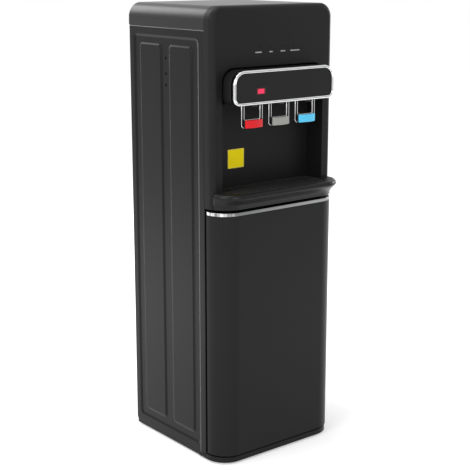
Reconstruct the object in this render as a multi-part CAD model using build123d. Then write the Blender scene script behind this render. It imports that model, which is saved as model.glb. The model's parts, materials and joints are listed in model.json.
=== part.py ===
from build123d import *
import math
import os

# A floor-standing bottom-loading water dispenser, in millimetres.
# Origin: centre of the footprint on the floor. +Z is up and the front faces -Y.
# +X is the right-hand side seen from the front.

# Overall sizes
cabinet_width = 325.0
cabinet_depth = 318.0       # plinth front to the rear edge of the side panels
cabinet_height = 960.0      # plinth underside to the top of the cover
foot_height = 4.0
sheet = 1.2                 # steel panels
wall = 2.5                  # plastic mouldings
seam = 0.4                  # visible gap between mouldings
slack = 0.3                 # clearance of parts that slide past each other
running_gap = 0.05          # radial clearance of a pin in its hole
seat_gap = 0.02             # radial clearance of a pin that stays put
over = 1.0                  # cuts run this far past a face
half_width = cabinet_width / 2

# Rear: condenser and what stands out of the rear panel
condenser_standoff = 8.0
condenser_tube_radius = 2.5
condenser_tube_bore = 1.7
condenser_wire_radius = 0.8
condenser_inset = 37.5       # tube bends inside the cabinet's sides
condenser_half_width = half_width - condenser_inset
condenser_pitch = 40.0
condenser_low = 100.0        # lowest run at or above this
condenser_drop = 415.0       # top run below the cabinet's top
condenser_top = cabinet_height - condenser_drop
condenser_runs = 1 + int((condenser_top - condenser_low) // condenser_pitch)
condenser_wire_pitch = 8.0
condenser_wire_overhang = 10.0
condenser_turn = 18.0       # bend radius of the tube
condenser_bracket_width = 18.0
condenser_bracket_height = 28.0

# Heights above the plinth underside. The upper part keeps its height, the bottle space takes the rest.
plinth_height = 12.0
panel_bottom_rise = 7.4
door_bottom_rise = 15.5
upper_height = 413.0        # door top to the cabinet's top
door_top_rise = cabinet_height - upper_height
trim_height = 7.4
fascia_gap = 5.7            # door top to the fascia
fascia_bottom_rise = door_top_rise + fascia_gap
tray_height = 34.3
tray_rim_rise = fascia_bottom_rise + tray_height
cover_height = 47.0
cover_bottom_rise = cabinet_height - cover_height
alcove_drop = 122.5
alcove_top_rise = cabinet_height - alcove_drop
head_gap = 3.0              # head below the alcove's top
head_height = 69.9
head_top_rise = alcove_top_rise - head_gap
head_bottom_rise = head_top_rise - head_height
lever_drop = 48.6           # lever below the head
lever_pivot_lift = 11.4     # pivot inside the head
lever_bottom_rise = head_bottom_rise - lever_drop
lever_pivot_rise = head_bottom_rise + lever_pivot_lift
lamp_drop = 82.0
lamp_rise = cabinet_height - lamp_drop

# Distances behind the plinth front (a minus sign stands out in front of it)
tray_reach = 24.0
door_front_set = -2.4
door_back_set = 50.0
fascia_front_set = 26.6
seam_set = 53.5
heel_set = 78.0
alcove_back_set = 72.0
head_front_set = -10.0
lever_set = 14.0
spout_set = 7.5
liner_set = 32.0            # front face of the door liner

# Shape of the front
plan_corner = 48.0          # rounded corners of plinth, door and tray in plan
cover_corner = 31.0
fascia_corner = 29.0
fascia_edge = 12.0          # rounded front edges of the fascia
alcove_inset = 26.0
alcove_half_width = half_width - alcove_inset
alcove_corner = 28.0
alcove_draft = 4.5          # how much the alcove narrows to its back wall
alcove_flange = 11.5
head_side_gap = 1.5         # head inside the alcove's sides
head_half_width = alcove_half_width - head_side_gap
head_top_corner = 28.0
head_bottom_corner = 15.0
bezel_width = 6.2
bezel_depth = 10.0
bezel_edge = 3.0
plate_recess = 2.5          # front plate behind the bezel's front
head_rear_inset = 5.5
head_rear_half_width = head_half_width - head_rear_inset
window_left = -74.7
window_width = 21.3
window_height = 12.0
window_lift = 20.6
window_rise = head_bottom_rise + window_lift
window_depth = 3.0
lamp_first = -38.8
lamp_pitch = 30.2
lamp_count = 4
lamp_radius = 2.2
lamp_length = 6.0
lamp_board_thickness = 1.6

# Levers and spouts
lever_names = ["hot", "room", "cold"]
lever_centres = [-71.0, 1.0, 73.0]
lever_half_width = 28.0
lever_leg_width = 8.0
lever_thickness = 4.0
lever_corner = 7.0
lever_eye_radius = 5.0
paddle_half_width = 23.0
paddle_height = 17.0
paddle_edge = 6.5           # paddle thickness at its ends
paddle_crown = 11.0         # paddle thickness in the middle
paddle_round = 1.2          # fillet round the paddle's front
shaft_radius = 2.0
shaft_overhang = 40.0       # shaft ends beyond the outer levers' centres
shaft_rib = 3.0
shaft_rib_reach = 36.0      # ribs beside a lever's centre
shaft_rib_depth = 12.0
shaft_rib_rise = 8.0        # ribs above the shaft's axis
lever_swing = 10.0          # degrees, pushed towards the alcove
spout_radius = 4.2
spout_bore = 2.7
spout_tip_radius = 7.0
spout_tip_bore = 4.5
spout_drop = 4.6            # outlet below the head's underside
spout_stub = 20.0           # hose end behind the spout's axis
switch_width = 18.0
switch_depth = 10.0
switch_height = 16.0
switch_set = 8.0            # switch behind its lever's leg
plunger_size = 4.0
plunger_inset = 2.0
pipe_radius = 5.0
pipe_bore = 3.0
pipe_bend = 10.0
pipe_lift = 25.4
pipe_rise = head_bottom_rise + pipe_lift

# Drip tray and grille
tray_inset = 1.5            # lip inside the cabinet's sides
tray_half_width = half_width - tray_inset
tray_lip_height = 13.5
tray_lip_edge = 6.0
scoop_steps = 5             # sections of the hollow under the lip
basin_side_gap = 6.0
basin_half_width = alcove_half_width - basin_side_gap
basin_floor = 3.5
basin_wall = 2.0
basin_corner = 12.0
grille_thickness = 3.0
grille_drop = 1.5           # grille top below the tray rim
grille_front = 9.0          # from the lip's front to the grille's edge
grille_corner = 40.0
grille_ledge = 2.5
slot_width = 4.5
slot_pitch = 9.0
slot_margin = 9.0

# Side panel pressing
press_depth = 2.5
press_slope = 35.0
press_corner = 8.0
press_front = 71.0
press_back_margin = 15.0
press_back = cabinet_depth - press_back_margin
press_bottom_rise = 25.0
press_top_margin = 16.0
press_top_rise = cover_bottom_rise - press_top_margin
field_margin = 20.0          # fields inside the pressed border
field_gap = 21.0            # channel between the two fields
field_width = (press_back - press_front - 2 * field_margin - field_gap) / 2
field_fronts = [press_front + field_margin, press_back - field_margin - field_width]
field_bottom_rise = 44.0
field_top_margin = 17.0
field_top_rise = press_top_rise - field_top_margin
panel_flange = 14.0
panel_corner = 8.0
panel_margin = 2.0          # rear panel inside the cabinet's sides

# Door hinge and catch
hinge_inset = 12.0          # hinge axis from the cabinet side
hinge_set = 24.5            # hinge axis behind the plinth front
hinge_pin_radius = 2.5
hinge_boss_radius = 5.5
hinge_boss_depth = 16.0
hinge_pin_depth = 14.0
hinge_bracket_thickness = 2.0
hinge_bracket_width = 14.0
hinge_bracket_lap = 20.0
liner_thickness = 2.5
trim_depth = 2.0
trim_start = 3.0            # trim ends in front of the door's back edge
magnet_length = 40.0
magnet_width = 12.0
magnet_depth = 7.0
post_radius = 5.0           # posts that carry the door liner
door_cap = 7.5              # solid top of the door under the trim

# Inside
deck_thickness = 2.5
deck_lift = 1.0             # deck top above the fascia's lower edge
inner_side_gap = 0.5        # deck and shelf to the pressed channels
shelf_thickness = 1.5
shelf_drop = 232.0
shelf_rise = cabinet_height - shelf_drop
shelf_front_set = 106.0
shelf_flange = 15.0
inner_gap = 1.7             # inner sheet edges to the rear flanges
pass_gap = 2.0              # round a pipe that passes the rear panel
cold_height = 146.0
cold_foam = 21.0
cold_foam_base = 25.0
coil_thickness = 6.5
lane_room = 41.0            # pipe lanes between the alcove and the cold tank's foam
rear_room = 23.5            # foam cups to the rear panel
cold_front_set = alcove_back_set + wall + lane_room
cold_foam_radius = (cabinet_depth - rear_room - cold_front_set) / 2
cold_radius = cold_foam_radius - cold_foam - coil_thickness
cold_centre_set = cold_front_set + cold_foam_radius
cold_side_room = 11.0       # foam cup to the cabinet's side
cold_centre_x = cold_foam_radius + cold_side_room - half_width
coil_height = 80.0
tank_sheet = 1.0
compressor_side = 90.5       # axis from the cabinet's left side
compressor_rear = 103.0      # axis from the cabinet's rear
compressor_x = compressor_side - half_width
compressor_set = cabinet_depth - compressor_rear
compressor_radius = 60.0
compressor_height = 118.0
compressor_plate = 3.0
compressor_foot_margin = 14.0
compressor_foot_x = half_width - compressor_side - compressor_foot_margin
compressor_foot_y = 45.0
grommet_radius = 10.0
grommet_height = 12.0
line_radius = 3.0
line_bore = 2.0
line_lift = 83.3
line_rise = fascia_bottom_rise + line_lift
line_bend = 9.0
pump_side = 102.5            # axis from the cabinet's right side
pump_behind = 68.0           # axis behind the alcove
pump_x = half_width - pump_side
pump_set = alcove_back_set + pump_behind
pump_radius = 27.0
pump_height = 72.0
pump_base = 4.0
pump_edge = 4.0
pump_flange = 6.0
fitting_drop = 25.0         # suction fitting below the deck
hot_height = 124.0
hot_foam = 12.0
hot_front_set = pump_set + pump_radius + pump_flange + wall
hot_foam_radius = (cabinet_depth - rear_room - hot_front_set) / 2
hot_radius = hot_foam_radius - hot_foam
hot_centre_set = hot_front_set + hot_foam_radius
hot_side_room = 17.5        # foam jacket to the cabinet's side
hot_centre_x = half_width - hot_side_room - hot_foam_radius
box_width = 80.0
box_depth = 100.0
box_height = 66.0
box_corner = 4.0
box_side = 58.5              # middle from the cabinet's right side
box_rear = 113.0             # middle from the cabinet's rear
box_x = half_width - box_side
box_set = cabinet_depth - box_rear

# Rear fittings
switch_side = 58.5           # outer switch from the cabinet's right side
switch_pitch = 34.0
switch_drop = 140.0
switch_xs = [half_width - switch_side - switch_pitch, half_width - switch_side]
switch_rise = cabinet_height - switch_drop
rocker_half_width = 7.2
rocker_half_height = 9.6
rocker_gap = 0.3
rocker_lean = 8.0           # degrees to either side of level
rocker_pin_radius = 1.5
rocker_room = 1.0           # pocket above and below the rocker
rocker_sink = 1.0           # pivot inside the panel's outer face
rocker_back = 5.0           # rocker profile, measured from the pivot
rocker_back_half = 4.0
rocker_shoulder = 2.0
rocker_peak = 4.5
rocker_valley = 2.5
housing_wall = 2.5
housing_flange = 3.0
housing_flange_thickness = 2.0
housing_depth = 16.0
drain_lift = 17.3
drain_rise = fascia_bottom_rise + drain_lift
drain_cap_radius = 12.0
drain_cap_length = 13.0
drain_cap_end = 4.0         # closed end of the cap
drain_cap_edge = 2.0
gland_side = 42.5
gland_lift = 43.3
gland_x = gland_side - half_width
gland_rise = fascia_bottom_rise + gland_lift
gland_radius = 9.0
gland_barrel = 8.0          # threaded part through the panel
gland_barrel_length = 8.0
gland_length = 12.0
gland_flange = 13.0
gland_flange_thickness = 3.0
gland_cable_radius = 4.0
screw_head_radius = 4.0
screw_head_height = 2.2
screw_shank_radius = 1.8
screw_length = 8.0
screw_lowest = 40.0
screw_top_margin = 33.0
screw_highest = cover_bottom_rise - screw_top_margin
screw_rows = 5
screw_step = (screw_highest - screw_lowest) / (screw_rows - 1)
screw_rises = [screw_lowest + row * screw_step for row in range(screw_rows)]
screw_inset = 8.5
louvre_length = 90.0
louvre_width = 4.0
louvre_pitch = 12.0
louvre_count = 8
louvre_lift = 57.3
louvre_rise = fascia_bottom_rise + louvre_lift
louvre_x = -20.0

# Feet and base pan
pan_wall = 3.0
foot_radius = 14.0
foot_inset = 46.0
foot_boss = 3.0             # boss wall round a foot's seat

# Places worked out from the sizes above
condenser_depth = condenser_standoff + 2 * condenser_tube_radius + 4 * condenser_wire_radius
rear_reach = sheet + condenser_depth
front_y = (tray_reach - cabinet_depth - rear_reach) / 2
rear_y = front_y + cabinet_depth
rear_face = rear_y + sheet
seam_y = front_y + seam_set
fascia_y = front_y + fascia_front_set
alcove_y = front_y + alcove_back_set
head_y = front_y + head_front_set
head_base_y = head_y + bezel_depth
lever_y = front_y + lever_set
spout_y = front_y + spout_set
door_y = front_y + door_front_set
door_back_y = front_y + door_back_set
top_z = foot_height + cabinet_height
plinth_top = foot_height + plinth_height
panel_bottom = foot_height + panel_bottom_rise
cover_bottom = foot_height + cover_bottom_rise
panel_top = cover_bottom - seam
door_bottom = foot_height + door_bottom_rise
door_top = foot_height + door_top_rise
fascia_bottom = foot_height + fascia_bottom_rise
tray_rim = foot_height + tray_rim_rise
alcove_top = foot_height + alcove_top_rise
head_bottom = foot_height + head_bottom_rise
head_top = foot_height + head_top_rise
head_floor = head_bottom + seam + wall
lever_bottom = foot_height + lever_bottom_rise
pivot_z = foot_height + lever_pivot_rise
pipe_z = foot_height + pipe_rise
deck_top = fascia_bottom + deck_lift
deck_bottom = deck_top - deck_thickness
shelf_top = foot_height + shelf_rise + shelf_thickness
inner_half = half_width - sheet - press_depth - inner_side_gap
hinge_x = half_width - hinge_inset
hinge_y = front_y + hinge_set
condenser_y = rear_face + condenser_standoff + 2 * condenser_wire_radius + condenser_tube_radius
cold_y = front_y + cold_centre_set
hot_y = front_y + hot_centre_set
compressor_y = front_y + compressor_set
pump_y = front_y + pump_set

os.makedirs("parts", exist_ok=True)


# Helpers: boxes, outlines and what is made from them
def block(x0, x1, y0, y1, z0, z1):
    return Pos((x0 + x1) / 2, (y0 + y1) / 2, (z0 + z1) / 2) * Box(x1 - x0, y1 - y0, z1 - z0)


def rod(radius, x, y, z0, z1):
    return Pos(x, y, (z0 + z1) / 2) * Cylinder(radius, z1 - z0)


def rod_y(radius, x, z, y0, y1):
    return Pos(x, (y0 + y1) / 2, z) * Rot(90, 0, 0) * Cylinder(radius, y1 - y0)


def rod_x(radius, y, z, x0, x1):
    return Pos((x0 + x1) / 2, y, z) * Rot(0, 90, 0) * Cylinder(radius, x1 - x0)


def plan_outline(half, front, back, corner):
    # a face in plan, square at the back, with rounded front corners
    k = corner * (1 - math.sqrt(0.5))
    left = ThreePointArc((-half, front + corner), (-half + k, front + k), (-half + corner, front))
    right = ThreePointArc((half - corner, front), (half - k, front + k), (half, front + corner))
    return make_face([
        Line((-half, back), (-half, front + corner)),
        left,
        Line((-half + corner, front), (half - corner, front)),
        right,
        Line((half, front + corner), (half, back)),
        Line((half, back), (-half, back)),
    ])


def plan_band(half, front, back, corner, depth):
    # a strip of even depth along the front and both sides of a plan outline
    k = corner * (1 - math.sqrt(0.5))
    inner = corner - depth
    j = inner * (1 - math.sqrt(0.5))
    inside = half - depth
    lip = front + depth
    return make_face([
        Line((-half, back), (-half, front + corner)),
        ThreePointArc((-half, front + corner), (-half + k, front + k), (-half + corner, front)),
        Line((-half + corner, front), (half - corner, front)),
        ThreePointArc((half - corner, front), (half - k, front + k), (half, front + corner)),
        Line((half, front + corner), (half, back)),
        Line((half, back), (inside, back)),
        Line((inside, back), (inside, lip + inner)),
        ThreePointArc((inside, lip + inner), (inside - j, lip + j), (inside - inner, lip)),
        Line((inside - inner, lip), (-inside + inner, lip)),
        ThreePointArc((-inside + inner, lip), (-inside + j, lip + j), (-inside, lip + inner)),
        Line((-inside, lip + inner), (-inside, back)),
        Line((-inside, back), (-half, back)),
    ])


def front_outline(half, bottom, top, bottom_corner, top_corner):
    # a face seen from the front, with its own radius for the upper and the lower corners
    face = Pos(0, (bottom + top) / 2) * Rectangle(2 * half, top - bottom)
    corners = face.vertices()
    upper = [v for v in corners if v.Y > (bottom + top) / 2]
    lower = [v for v in corners if v.Y < (bottom + top) / 2]
    if top_corner > 0:
        face = fillet(upper, top_corner)
    if bottom_corner > 0:
        lower = [v for v in face.vertices() if v.Y < bottom + 0.01]
        face = fillet(lower, bottom_corner)
    return face


def lie(face, z0, z1):
    return Pos(0, 0, z0) * extrude(face, z1 - z0)


def stand(face, y0, y1):
    return Pos(0, y0, 0) * extrude(Plane.XZ * face, y1 - y0, dir=(0, 1, 0))


def tube(points, bend, radius, bore):
    path = FilletPolyline(*points, radius=bend)
    start = Plane(origin=path @ 0, z_dir=path % 0)
    return sweep(start * (Circle(radius) - Circle(bore)), path=path)


def save(shape, name):
    shape.label = name
    export_step(shape, "parts/" + name + ".step")


# Base pan with the plinth as its front
pan_half = half_width - sheet - slack
pan_back = rear_y - inner_gap
pan = lie(plan_outline(half_width, front_y, seam_y - seam, plan_corner), foot_height, plinth_top)
pan += block(-half_width, half_width, seam_y - seam, front_y + heel_set, foot_height, panel_bottom - seam)
pan += block(-pan_half, pan_half, seam_y - seam, pan_back, foot_height, plinth_top)
pan_hollow_half = pan_half - pan_wall
pan_hollow = lie(
    plan_outline(pan_hollow_half, front_y + pan_wall, pan_back - pan_wall, plan_corner - pan_wall),
    foot_height,
    plinth_top - pan_wall,
)
foot_spots = []
for foot_x in (-half_width + foot_inset, half_width - foot_inset):
    for foot_y in (front_y + foot_inset, rear_y - foot_inset):
        foot_spots.append((foot_x, foot_y))
for foot_x, foot_y in foot_spots:
    pan_hollow -= rod(foot_radius + foot_boss, foot_x, foot_y, foot_height, plinth_top)
pan_hollow -= rod(hinge_boss_radius + foot_boss, hinge_x, hinge_y, foot_height, plinth_top)
pan -= pan_hollow
pin_foot = foot_height + pan_wall
pan -= rod(hinge_pin_radius + seat_gap, hinge_x, hinge_y, pin_foot, plinth_top)
save(pan, "base_pan")

feet = []
for foot_x, foot_y in foot_spots:
    pad = rod(foot_radius, foot_x, foot_y, 0, foot_height)
    feet.append(chamfer(pad.faces().sort_by(Axis.Z)[0].edges(), foot_height / 4))
save(Compound(children=feet), "feet")


# Side panels: sheet with a pressed border channel round two raised fields
def press_tool(grow, face_x):
    side = Plane.YZ.offset(face_x)

    def field(y0, y1, z0, z1, slope):
        outline = Pos((y0 + y1) / 2, (z0 + z1) / 2) * RectangleRounded(y1 - y0, z1 - z0, press_corner)
        return extrude(side * outline, -press_depth, taper=slope)

    run = press_depth * math.tan(math.radians(press_slope))
    tool = field(
        front_y + press_front - grow,
        front_y + press_back + grow,
        foot_height + press_bottom_rise - grow,
        foot_height + press_top_rise + grow,
        press_slope,
    )
    for near in field_fronts:
        far = near + field_width
        tool -= field(
            front_y + near + grow + run,
            front_y + far - grow - run,
            foot_height + field_bottom_rise + grow + run,
            foot_height + field_top_rise - grow - run,
            -press_slope,
        )
    return tool


def side_panel():
    inner_x = half_width - sheet
    panel = block(inner_x, half_width, seam_y, rear_y, panel_bottom, panel_top)
    low_rear = panel.edges().filter_by(Axis.X).sort_by(Axis.Z)[:2].sort_by(Axis.Y)[-1]
    panel = fillet(low_rear, panel_corner)
    panel += press_tool(sheet, inner_x)
    panel -= press_tool(0, half_width)
    flange_x = half_width - panel_flange
    panel += block(flange_x, inner_x, seam_y, seam_y + sheet, plinth_top + seam, panel_top)
    panel -= block(flange_x - over, inner_x, seam_y - over, seam_y + sheet + over, door_top, deck_top + seam)
    panel += block(flange_x, inner_x, rear_y - sheet, rear_y, plinth_top + panel_corner, panel_top)
    for rise in screw_rises:
        hole_x = half_width - screw_inset
        panel -= rod_y(screw_shank_radius + seat_gap, hole_x, foot_height + rise, rear_y - 2 * sheet, rear_y)
    return panel


right_panel = side_panel()
save(right_panel, "right_side_panel")
save(mirror(right_panel, about=Plane.YZ), "left_side_panel")

# Rear panel with louvre slots and the holes of the rear fittings
rear = block(
    -half_width + panel_margin,
    half_width - panel_margin,
    rear_y,
    rear_face,
    plinth_top,
    cover_bottom - seam,
)
for step in range(louvre_count):
    z = foot_height + louvre_rise + step * louvre_pitch
    slot = Pos(louvre_x, z) * SlotOverall(louvre_length, louvre_width)
    rear -= stand(slot, rear_y - over, rear_face + over)
screw_spots = []
for side in (-1, 1):
    for rise in screw_rises:
        screw_spots.append((side * (half_width - screw_inset), foot_height + rise))
for x, z in screw_spots:
    rear -= rod_y(screw_shank_radius + slack, x, z, rear_y - over, rear_face + over)
rear -= rod_y(pipe_radius + pass_gap, hot_centre_x, foot_height + drain_rise, rear_y - over, rear_face + over)
rear -= rod_y(line_radius + pass_gap, compressor_x, foot_height + line_rise, rear_y - over, rear_face + over)
rear -= rod_y(gland_barrel + slack, gland_x, foot_height + gland_rise, rear_y - over, rear_face + over)
body_half_x = rocker_half_width + rocker_gap + housing_wall
body_half_z = rocker_half_height + rocker_room + housing_wall
switch_z = foot_height + switch_rise
for x in switch_xs:
    rear -= block(
        x - body_half_x - slack,
        x + body_half_x + slack,
        rear_y - over,
        rear_face + over,
        switch_z - body_half_z - slack,
        switch_z + body_half_z + slack,
    )
save(rear, "rear_panel")

screws = []
for x, z in screw_spots:
    head = rod_y(screw_head_radius, x, z, rear_face, rear_face + screw_head_height)
    head = fillet(head.faces().sort_by(Axis.Y)[-1].edges(), screw_head_height / 2)
    screws.append(head + rod_y(screw_shank_radius, x, z, rear_face - screw_length, rear_face))
save(Compound(children=screws), "rear_panel_screws")

# Top cover: an upturned trough closed at the back by its own wall and at the front by the fascia
cover = stand(front_outline(half_width, cover_bottom, top_z, 0, cover_corner), seam_y, rear_face)
cover -= stand(
    front_outline(half_width - wall, cover_bottom - over, top_z - wall, 0, cover_corner - wall),
    seam_y - over,
    rear_face - wall,
)
save(cover, "top_cover")

# Front fascia with the alcove opening and the lamp holes
fascia_back = seam_y - seam


def fascia_solid(inset, bottom):
    slab = stand(
        front_outline(half_width - inset, bottom, top_z - inset, 0, fascia_corner - inset),
        fascia_y + inset,
        fascia_back,
    )
    front = slab.faces().sort_by(Axis.Y)[0]
    rounded = [e for e in front.edges() if e.center().Z > bottom + 1]
    return fillet(rounded, fascia_edge - inset)


alcove_opening = front_outline(alcove_half_width, fascia_bottom - over, alcove_top, 0, alcove_corner)
lamp_z = foot_height + lamp_rise
lamp_xs = [lamp_first + step * lamp_pitch for step in range(lamp_count)]
lamp_middle = (lamp_xs[0] + lamp_xs[-1]) / 2
lamp_board_half = (lamp_xs[-1] - lamp_xs[0]) / 2 + lamp_pitch / 2
lamp_board_y = fascia_y + lamp_length
fascia = fascia_solid(0, fascia_bottom)
fascia -= fascia_solid(wall, fascia_bottom - over)
fascia -= stand(alcove_opening, fascia_y - over, fascia_y + wall + over)
for side in (-1, 1):
    boss_x = lamp_middle + side * (lamp_board_half - 2 * lamp_radius)
    fascia += rod_y(1.5 * lamp_radius, boss_x, lamp_z, fascia_y + wall, lamp_board_y)
for x in lamp_xs:
    fascia -= rod_y(lamp_radius + seat_gap, x, lamp_z, fascia_y - over, fascia_y + wall + over)
save(fascia, "front_fascia")

lenses = [rod_y(lamp_radius, x, lamp_z, fascia_y - seat_gap, lamp_board_y) for x in lamp_xs]
save(Compound(children=lenses), "indicator_lenses")
lamp_board = block(
    lamp_middle - lamp_board_half,
    lamp_middle + lamp_board_half,
    lamp_board_y,
    lamp_board_y + lamp_board_thickness,
    lamp_z - 3 * lamp_radius,
    lamp_z + 3 * lamp_radius,
)
save(lamp_board, "indicator_board")

# Alcove liner: a shallow tub behind the fascia, narrowing to its back wall
liner_front = fascia_y + wall
liner_floor = fascia_bottom + wall


def alcove_shape(grow, bottom, y1):
    near = front_outline(alcove_half_width + grow, bottom, alcove_top + grow, 0, alcove_corner + grow)
    far = front_outline(
        alcove_half_width + grow - alcove_draft,
        bottom,
        alcove_top + grow - alcove_draft,
        0,
        alcove_corner + grow - alcove_draft,
    )
    return loft([Plane.XZ.offset(-liner_front) * near, Plane.XZ.offset(-y1) * far], ruled=True)


flange_face = front_outline(
    alcove_half_width + alcove_flange,
    fascia_bottom,
    alcove_top + alcove_flange,
    0,
    alcove_corner + alcove_flange,
)
liner = alcove_shape(wall, fascia_bottom, alcove_y + wall)
liner += stand(flange_face, liner_front, liner_front + wall)
liner -= alcove_shape(0, liner_floor, alcove_y)
for x in lever_centres:
    liner -= rod_y(pipe_radius + slack, x, pipe_z, alcove_y - over, alcove_y + wall + over)
save(liner, "alcove_liner")

# Dispense head: housing, bright bezel, front plate and display window
bezel_outline = front_outline(head_half_width, head_bottom, head_top, head_bottom_corner, head_top_corner)
bezel_hole = front_outline(
    head_half_width - bezel_width,
    head_bottom + bezel_width,
    head_top - bezel_width,
    head_bottom_corner - bezel_width / 2,
    head_top_corner - bezel_width,
)
bezel = stand(bezel_outline, head_y, head_base_y)
bezel = fillet(bezel.faces().sort_by(Axis.Y)[0].edges(), bezel_edge)
bezel -= stand(bezel_hole, head_y - over, head_base_y + over)
save(bezel, "head_bezel")

head_outline = front_outline(
    head_half_width - seam,
    head_bottom + seam,
    head_top - seam,
    head_bottom_corner - seam,
    head_top_corner - seam,
)
head_rear_top = head_top - alcove_draft
rear_outline = front_outline(head_rear_half_width, head_bottom + seam, head_rear_top, wall, head_top_corner)
head_room = front_outline(
    head_rear_half_width - wall,
    head_floor,
    head_rear_top - wall,
    wall,
    head_top_corner - wall,
)
housing = stand(head_outline, head_base_y, fascia_y - seam)
housing += stand(rear_outline, fascia_y - seam, alcove_y)
housing -= stand(head_room, head_base_y + wall, alcove_y + over)
rib_xs = [lever_centres[0] - shaft_rib_reach] + [x + shaft_rib_reach for x in lever_centres]
for x in rib_xs:
    housing += block(
        x - shaft_rib / 2,
        x + shaft_rib / 2,
        lever_y - shaft_rib_depth / 2,
        lever_y + shaft_rib_depth / 2,
        head_floor,
        pivot_z + shaft_rib_rise,
    )
shaft_x0 = lever_centres[0] - shaft_overhang
shaft_x1 = lever_centres[-1] + shaft_overhang
shaft = rod_x(shaft_radius, lever_y, pivot_z, shaft_x0, shaft_x1)
housing -= rod_x(shaft_radius + seat_gap, lever_y, pivot_z, shaft_x0, shaft_x1)
swing = math.radians(lever_swing)
leg_room = lever_thickness / 2 + (pivot_z - head_bottom) * math.sin(swing) + 2 * slack
for x in lever_centres:
    for side in (-1, 1):
        leg_x = x + side * (lever_half_width - lever_leg_width / 2)
        housing -= block(
            leg_x - lever_leg_width / 2 - 2 * slack,
            leg_x + lever_leg_width / 2 + 2 * slack,
            lever_y - lever_thickness / 2 - 2 * slack,
            lever_y + leg_room,
            head_bottom,
            head_floor,
        )
    housing -= rod(spout_radius + slack, x, spout_y, head_bottom, head_floor)
save(housing, "head_housing")
save(shaft, "lever_shaft")

plate_outline = front_outline(
    head_half_width - bezel_width - seam / 2,
    head_bottom + bezel_width + seam / 2,
    head_top - bezel_width - seam / 2,
    head_bottom_corner - bezel_width / 2,
    head_top_corner - bezel_width,
)
plate_y = head_y + plate_recess
window_z = foot_height + window_rise
plate = stand(plate_outline, plate_y, head_base_y)
window_right = window_left + window_width
window_top = window_z + window_height
window_back = plate_y + window_depth
plate -= block(window_left, window_right, plate_y - over, window_back, window_z, window_top)
save(plate, "head_plate")
window = block(
    window_left + seat_gap,
    window_right - seat_gap,
    plate_y - slack,
    window_back,
    window_z + seat_gap,
    window_top - seat_gap,
)
save(window, "display_window")

# Levers, their paddles, spouts and switches
paddle_top = lever_bottom + paddle_height
leg_front = lever_y - lever_thickness / 2
leg_back = lever_y + lever_thickness / 2
switches = []
for name, x in zip(lever_names, lever_centres):
    frame_outline = front_outline(lever_half_width, lever_bottom, pivot_z, lever_corner, 0)
    frame = stand(frame_outline, leg_front, leg_back)
    window_half = lever_half_width - lever_leg_width
    gap_bottom = paddle_top + seam
    frame -= block(-window_half, window_half, leg_front - over, leg_back + over, gap_bottom, pivot_z + over)
    for side in (-1, 1):
        leg_x = side * (lever_half_width - lever_leg_width / 2)
        eye_x0 = leg_x - lever_leg_width / 2
        eye_x1 = leg_x + lever_leg_width / 2
        frame += rod_x(lever_eye_radius, lever_y, pivot_z, eye_x0, eye_x1)
        frame -= rod_x(shaft_radius + running_gap, lever_y, pivot_z, eye_x0 - over, eye_x1 + over)
    save(Pos(x, 0, 0) * frame, name + "_lever_frame")

    arc = ThreePointArc(
        (-paddle_half_width, leg_front - paddle_edge),
        (0, leg_front - paddle_crown),
        (paddle_half_width, leg_front - paddle_edge),
    )
    paddle_plan = make_face([
        arc,
        Line((paddle_half_width, leg_front - paddle_edge), (paddle_half_width, leg_front)),
        Line((paddle_half_width, leg_front), (-paddle_half_width, leg_front)),
        Line((-paddle_half_width, leg_front), (-paddle_half_width, leg_front - paddle_edge)),
    ])
    paddle = lie(paddle_plan, lever_bottom + seam, paddle_top)
    paddle = fillet(paddle.faces().sort_by(Axis.Y)[0].edges(), paddle_round)
    save(Pos(x, 0, 0) * paddle, name + "_paddle")

    spout_foot = head_bottom - spout_drop
    stub_end = spout_y + spout_stub
    spout = rod(spout_tip_radius, x, spout_y, spout_foot, head_bottom + seam)
    spout += rod(spout_radius, x, spout_y, head_bottom, pipe_z + pipe_radius)
    spout += rod_y(pipe_radius, x, pipe_z, spout_y, stub_end)
    spout -= rod(spout_tip_bore, x, spout_y, spout_foot - over, spout_foot + spout_drop / 2)
    spout -= rod(spout_bore, x, spout_y, spout_foot, pipe_z)
    spout -= rod_y(pipe_bore, x, pipe_z, spout_y, stub_end + over)
    save(spout, name + "_spout")

    switch_x = x - lever_half_width
    switch_y = leg_back + switch_set
    switch = block(
        switch_x - slack,
        switch_x + switch_width - slack,
        switch_y,
        switch_y + switch_depth,
        head_floor,
        head_floor + switch_height,
    )
    switch += block(
        switch_x + plunger_inset,
        switch_x + plunger_inset + plunger_size,
        switch_y - plunger_size,
        switch_y,
        head_floor + plunger_inset,
        head_floor + plunger_inset + plunger_size,
    )
    switches.append(switch)
save(Compound(children=switches), "lever_switches")

# Drip tray: flared lip in front of the fascia, basin in the alcove
chin_back = fascia_y - seam
lip_front = front_y - tray_reach
lip_bottom = tray_rim - tray_lip_height
chin_bottom = fascia_bottom + slack


def chin_section(front, half_at_back):
    # the door's rounded outline, cut off along the fascia
    depth = chin_back - front
    reach = math.sqrt(2 * plan_corner * depth - depth ** 2)
    flat = half_at_back - reach
    middle = math.acos(1 - depth / plan_corner) / 2
    bow_x = flat + plan_corner * math.sin(middle)
    bow_y = front + plan_corner * (1 - math.cos(middle))
    return make_face([
        ThreePointArc((-half_at_back, chin_back), (-bow_x, bow_y), (-flat, front)),
        Line((-flat, front), (flat, front)),
        ThreePointArc((flat, front), (bow_x, bow_y), (half_at_back, chin_back)),
        Line((half_at_back, chin_back), (-half_at_back, chin_back)),
    ])


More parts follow.
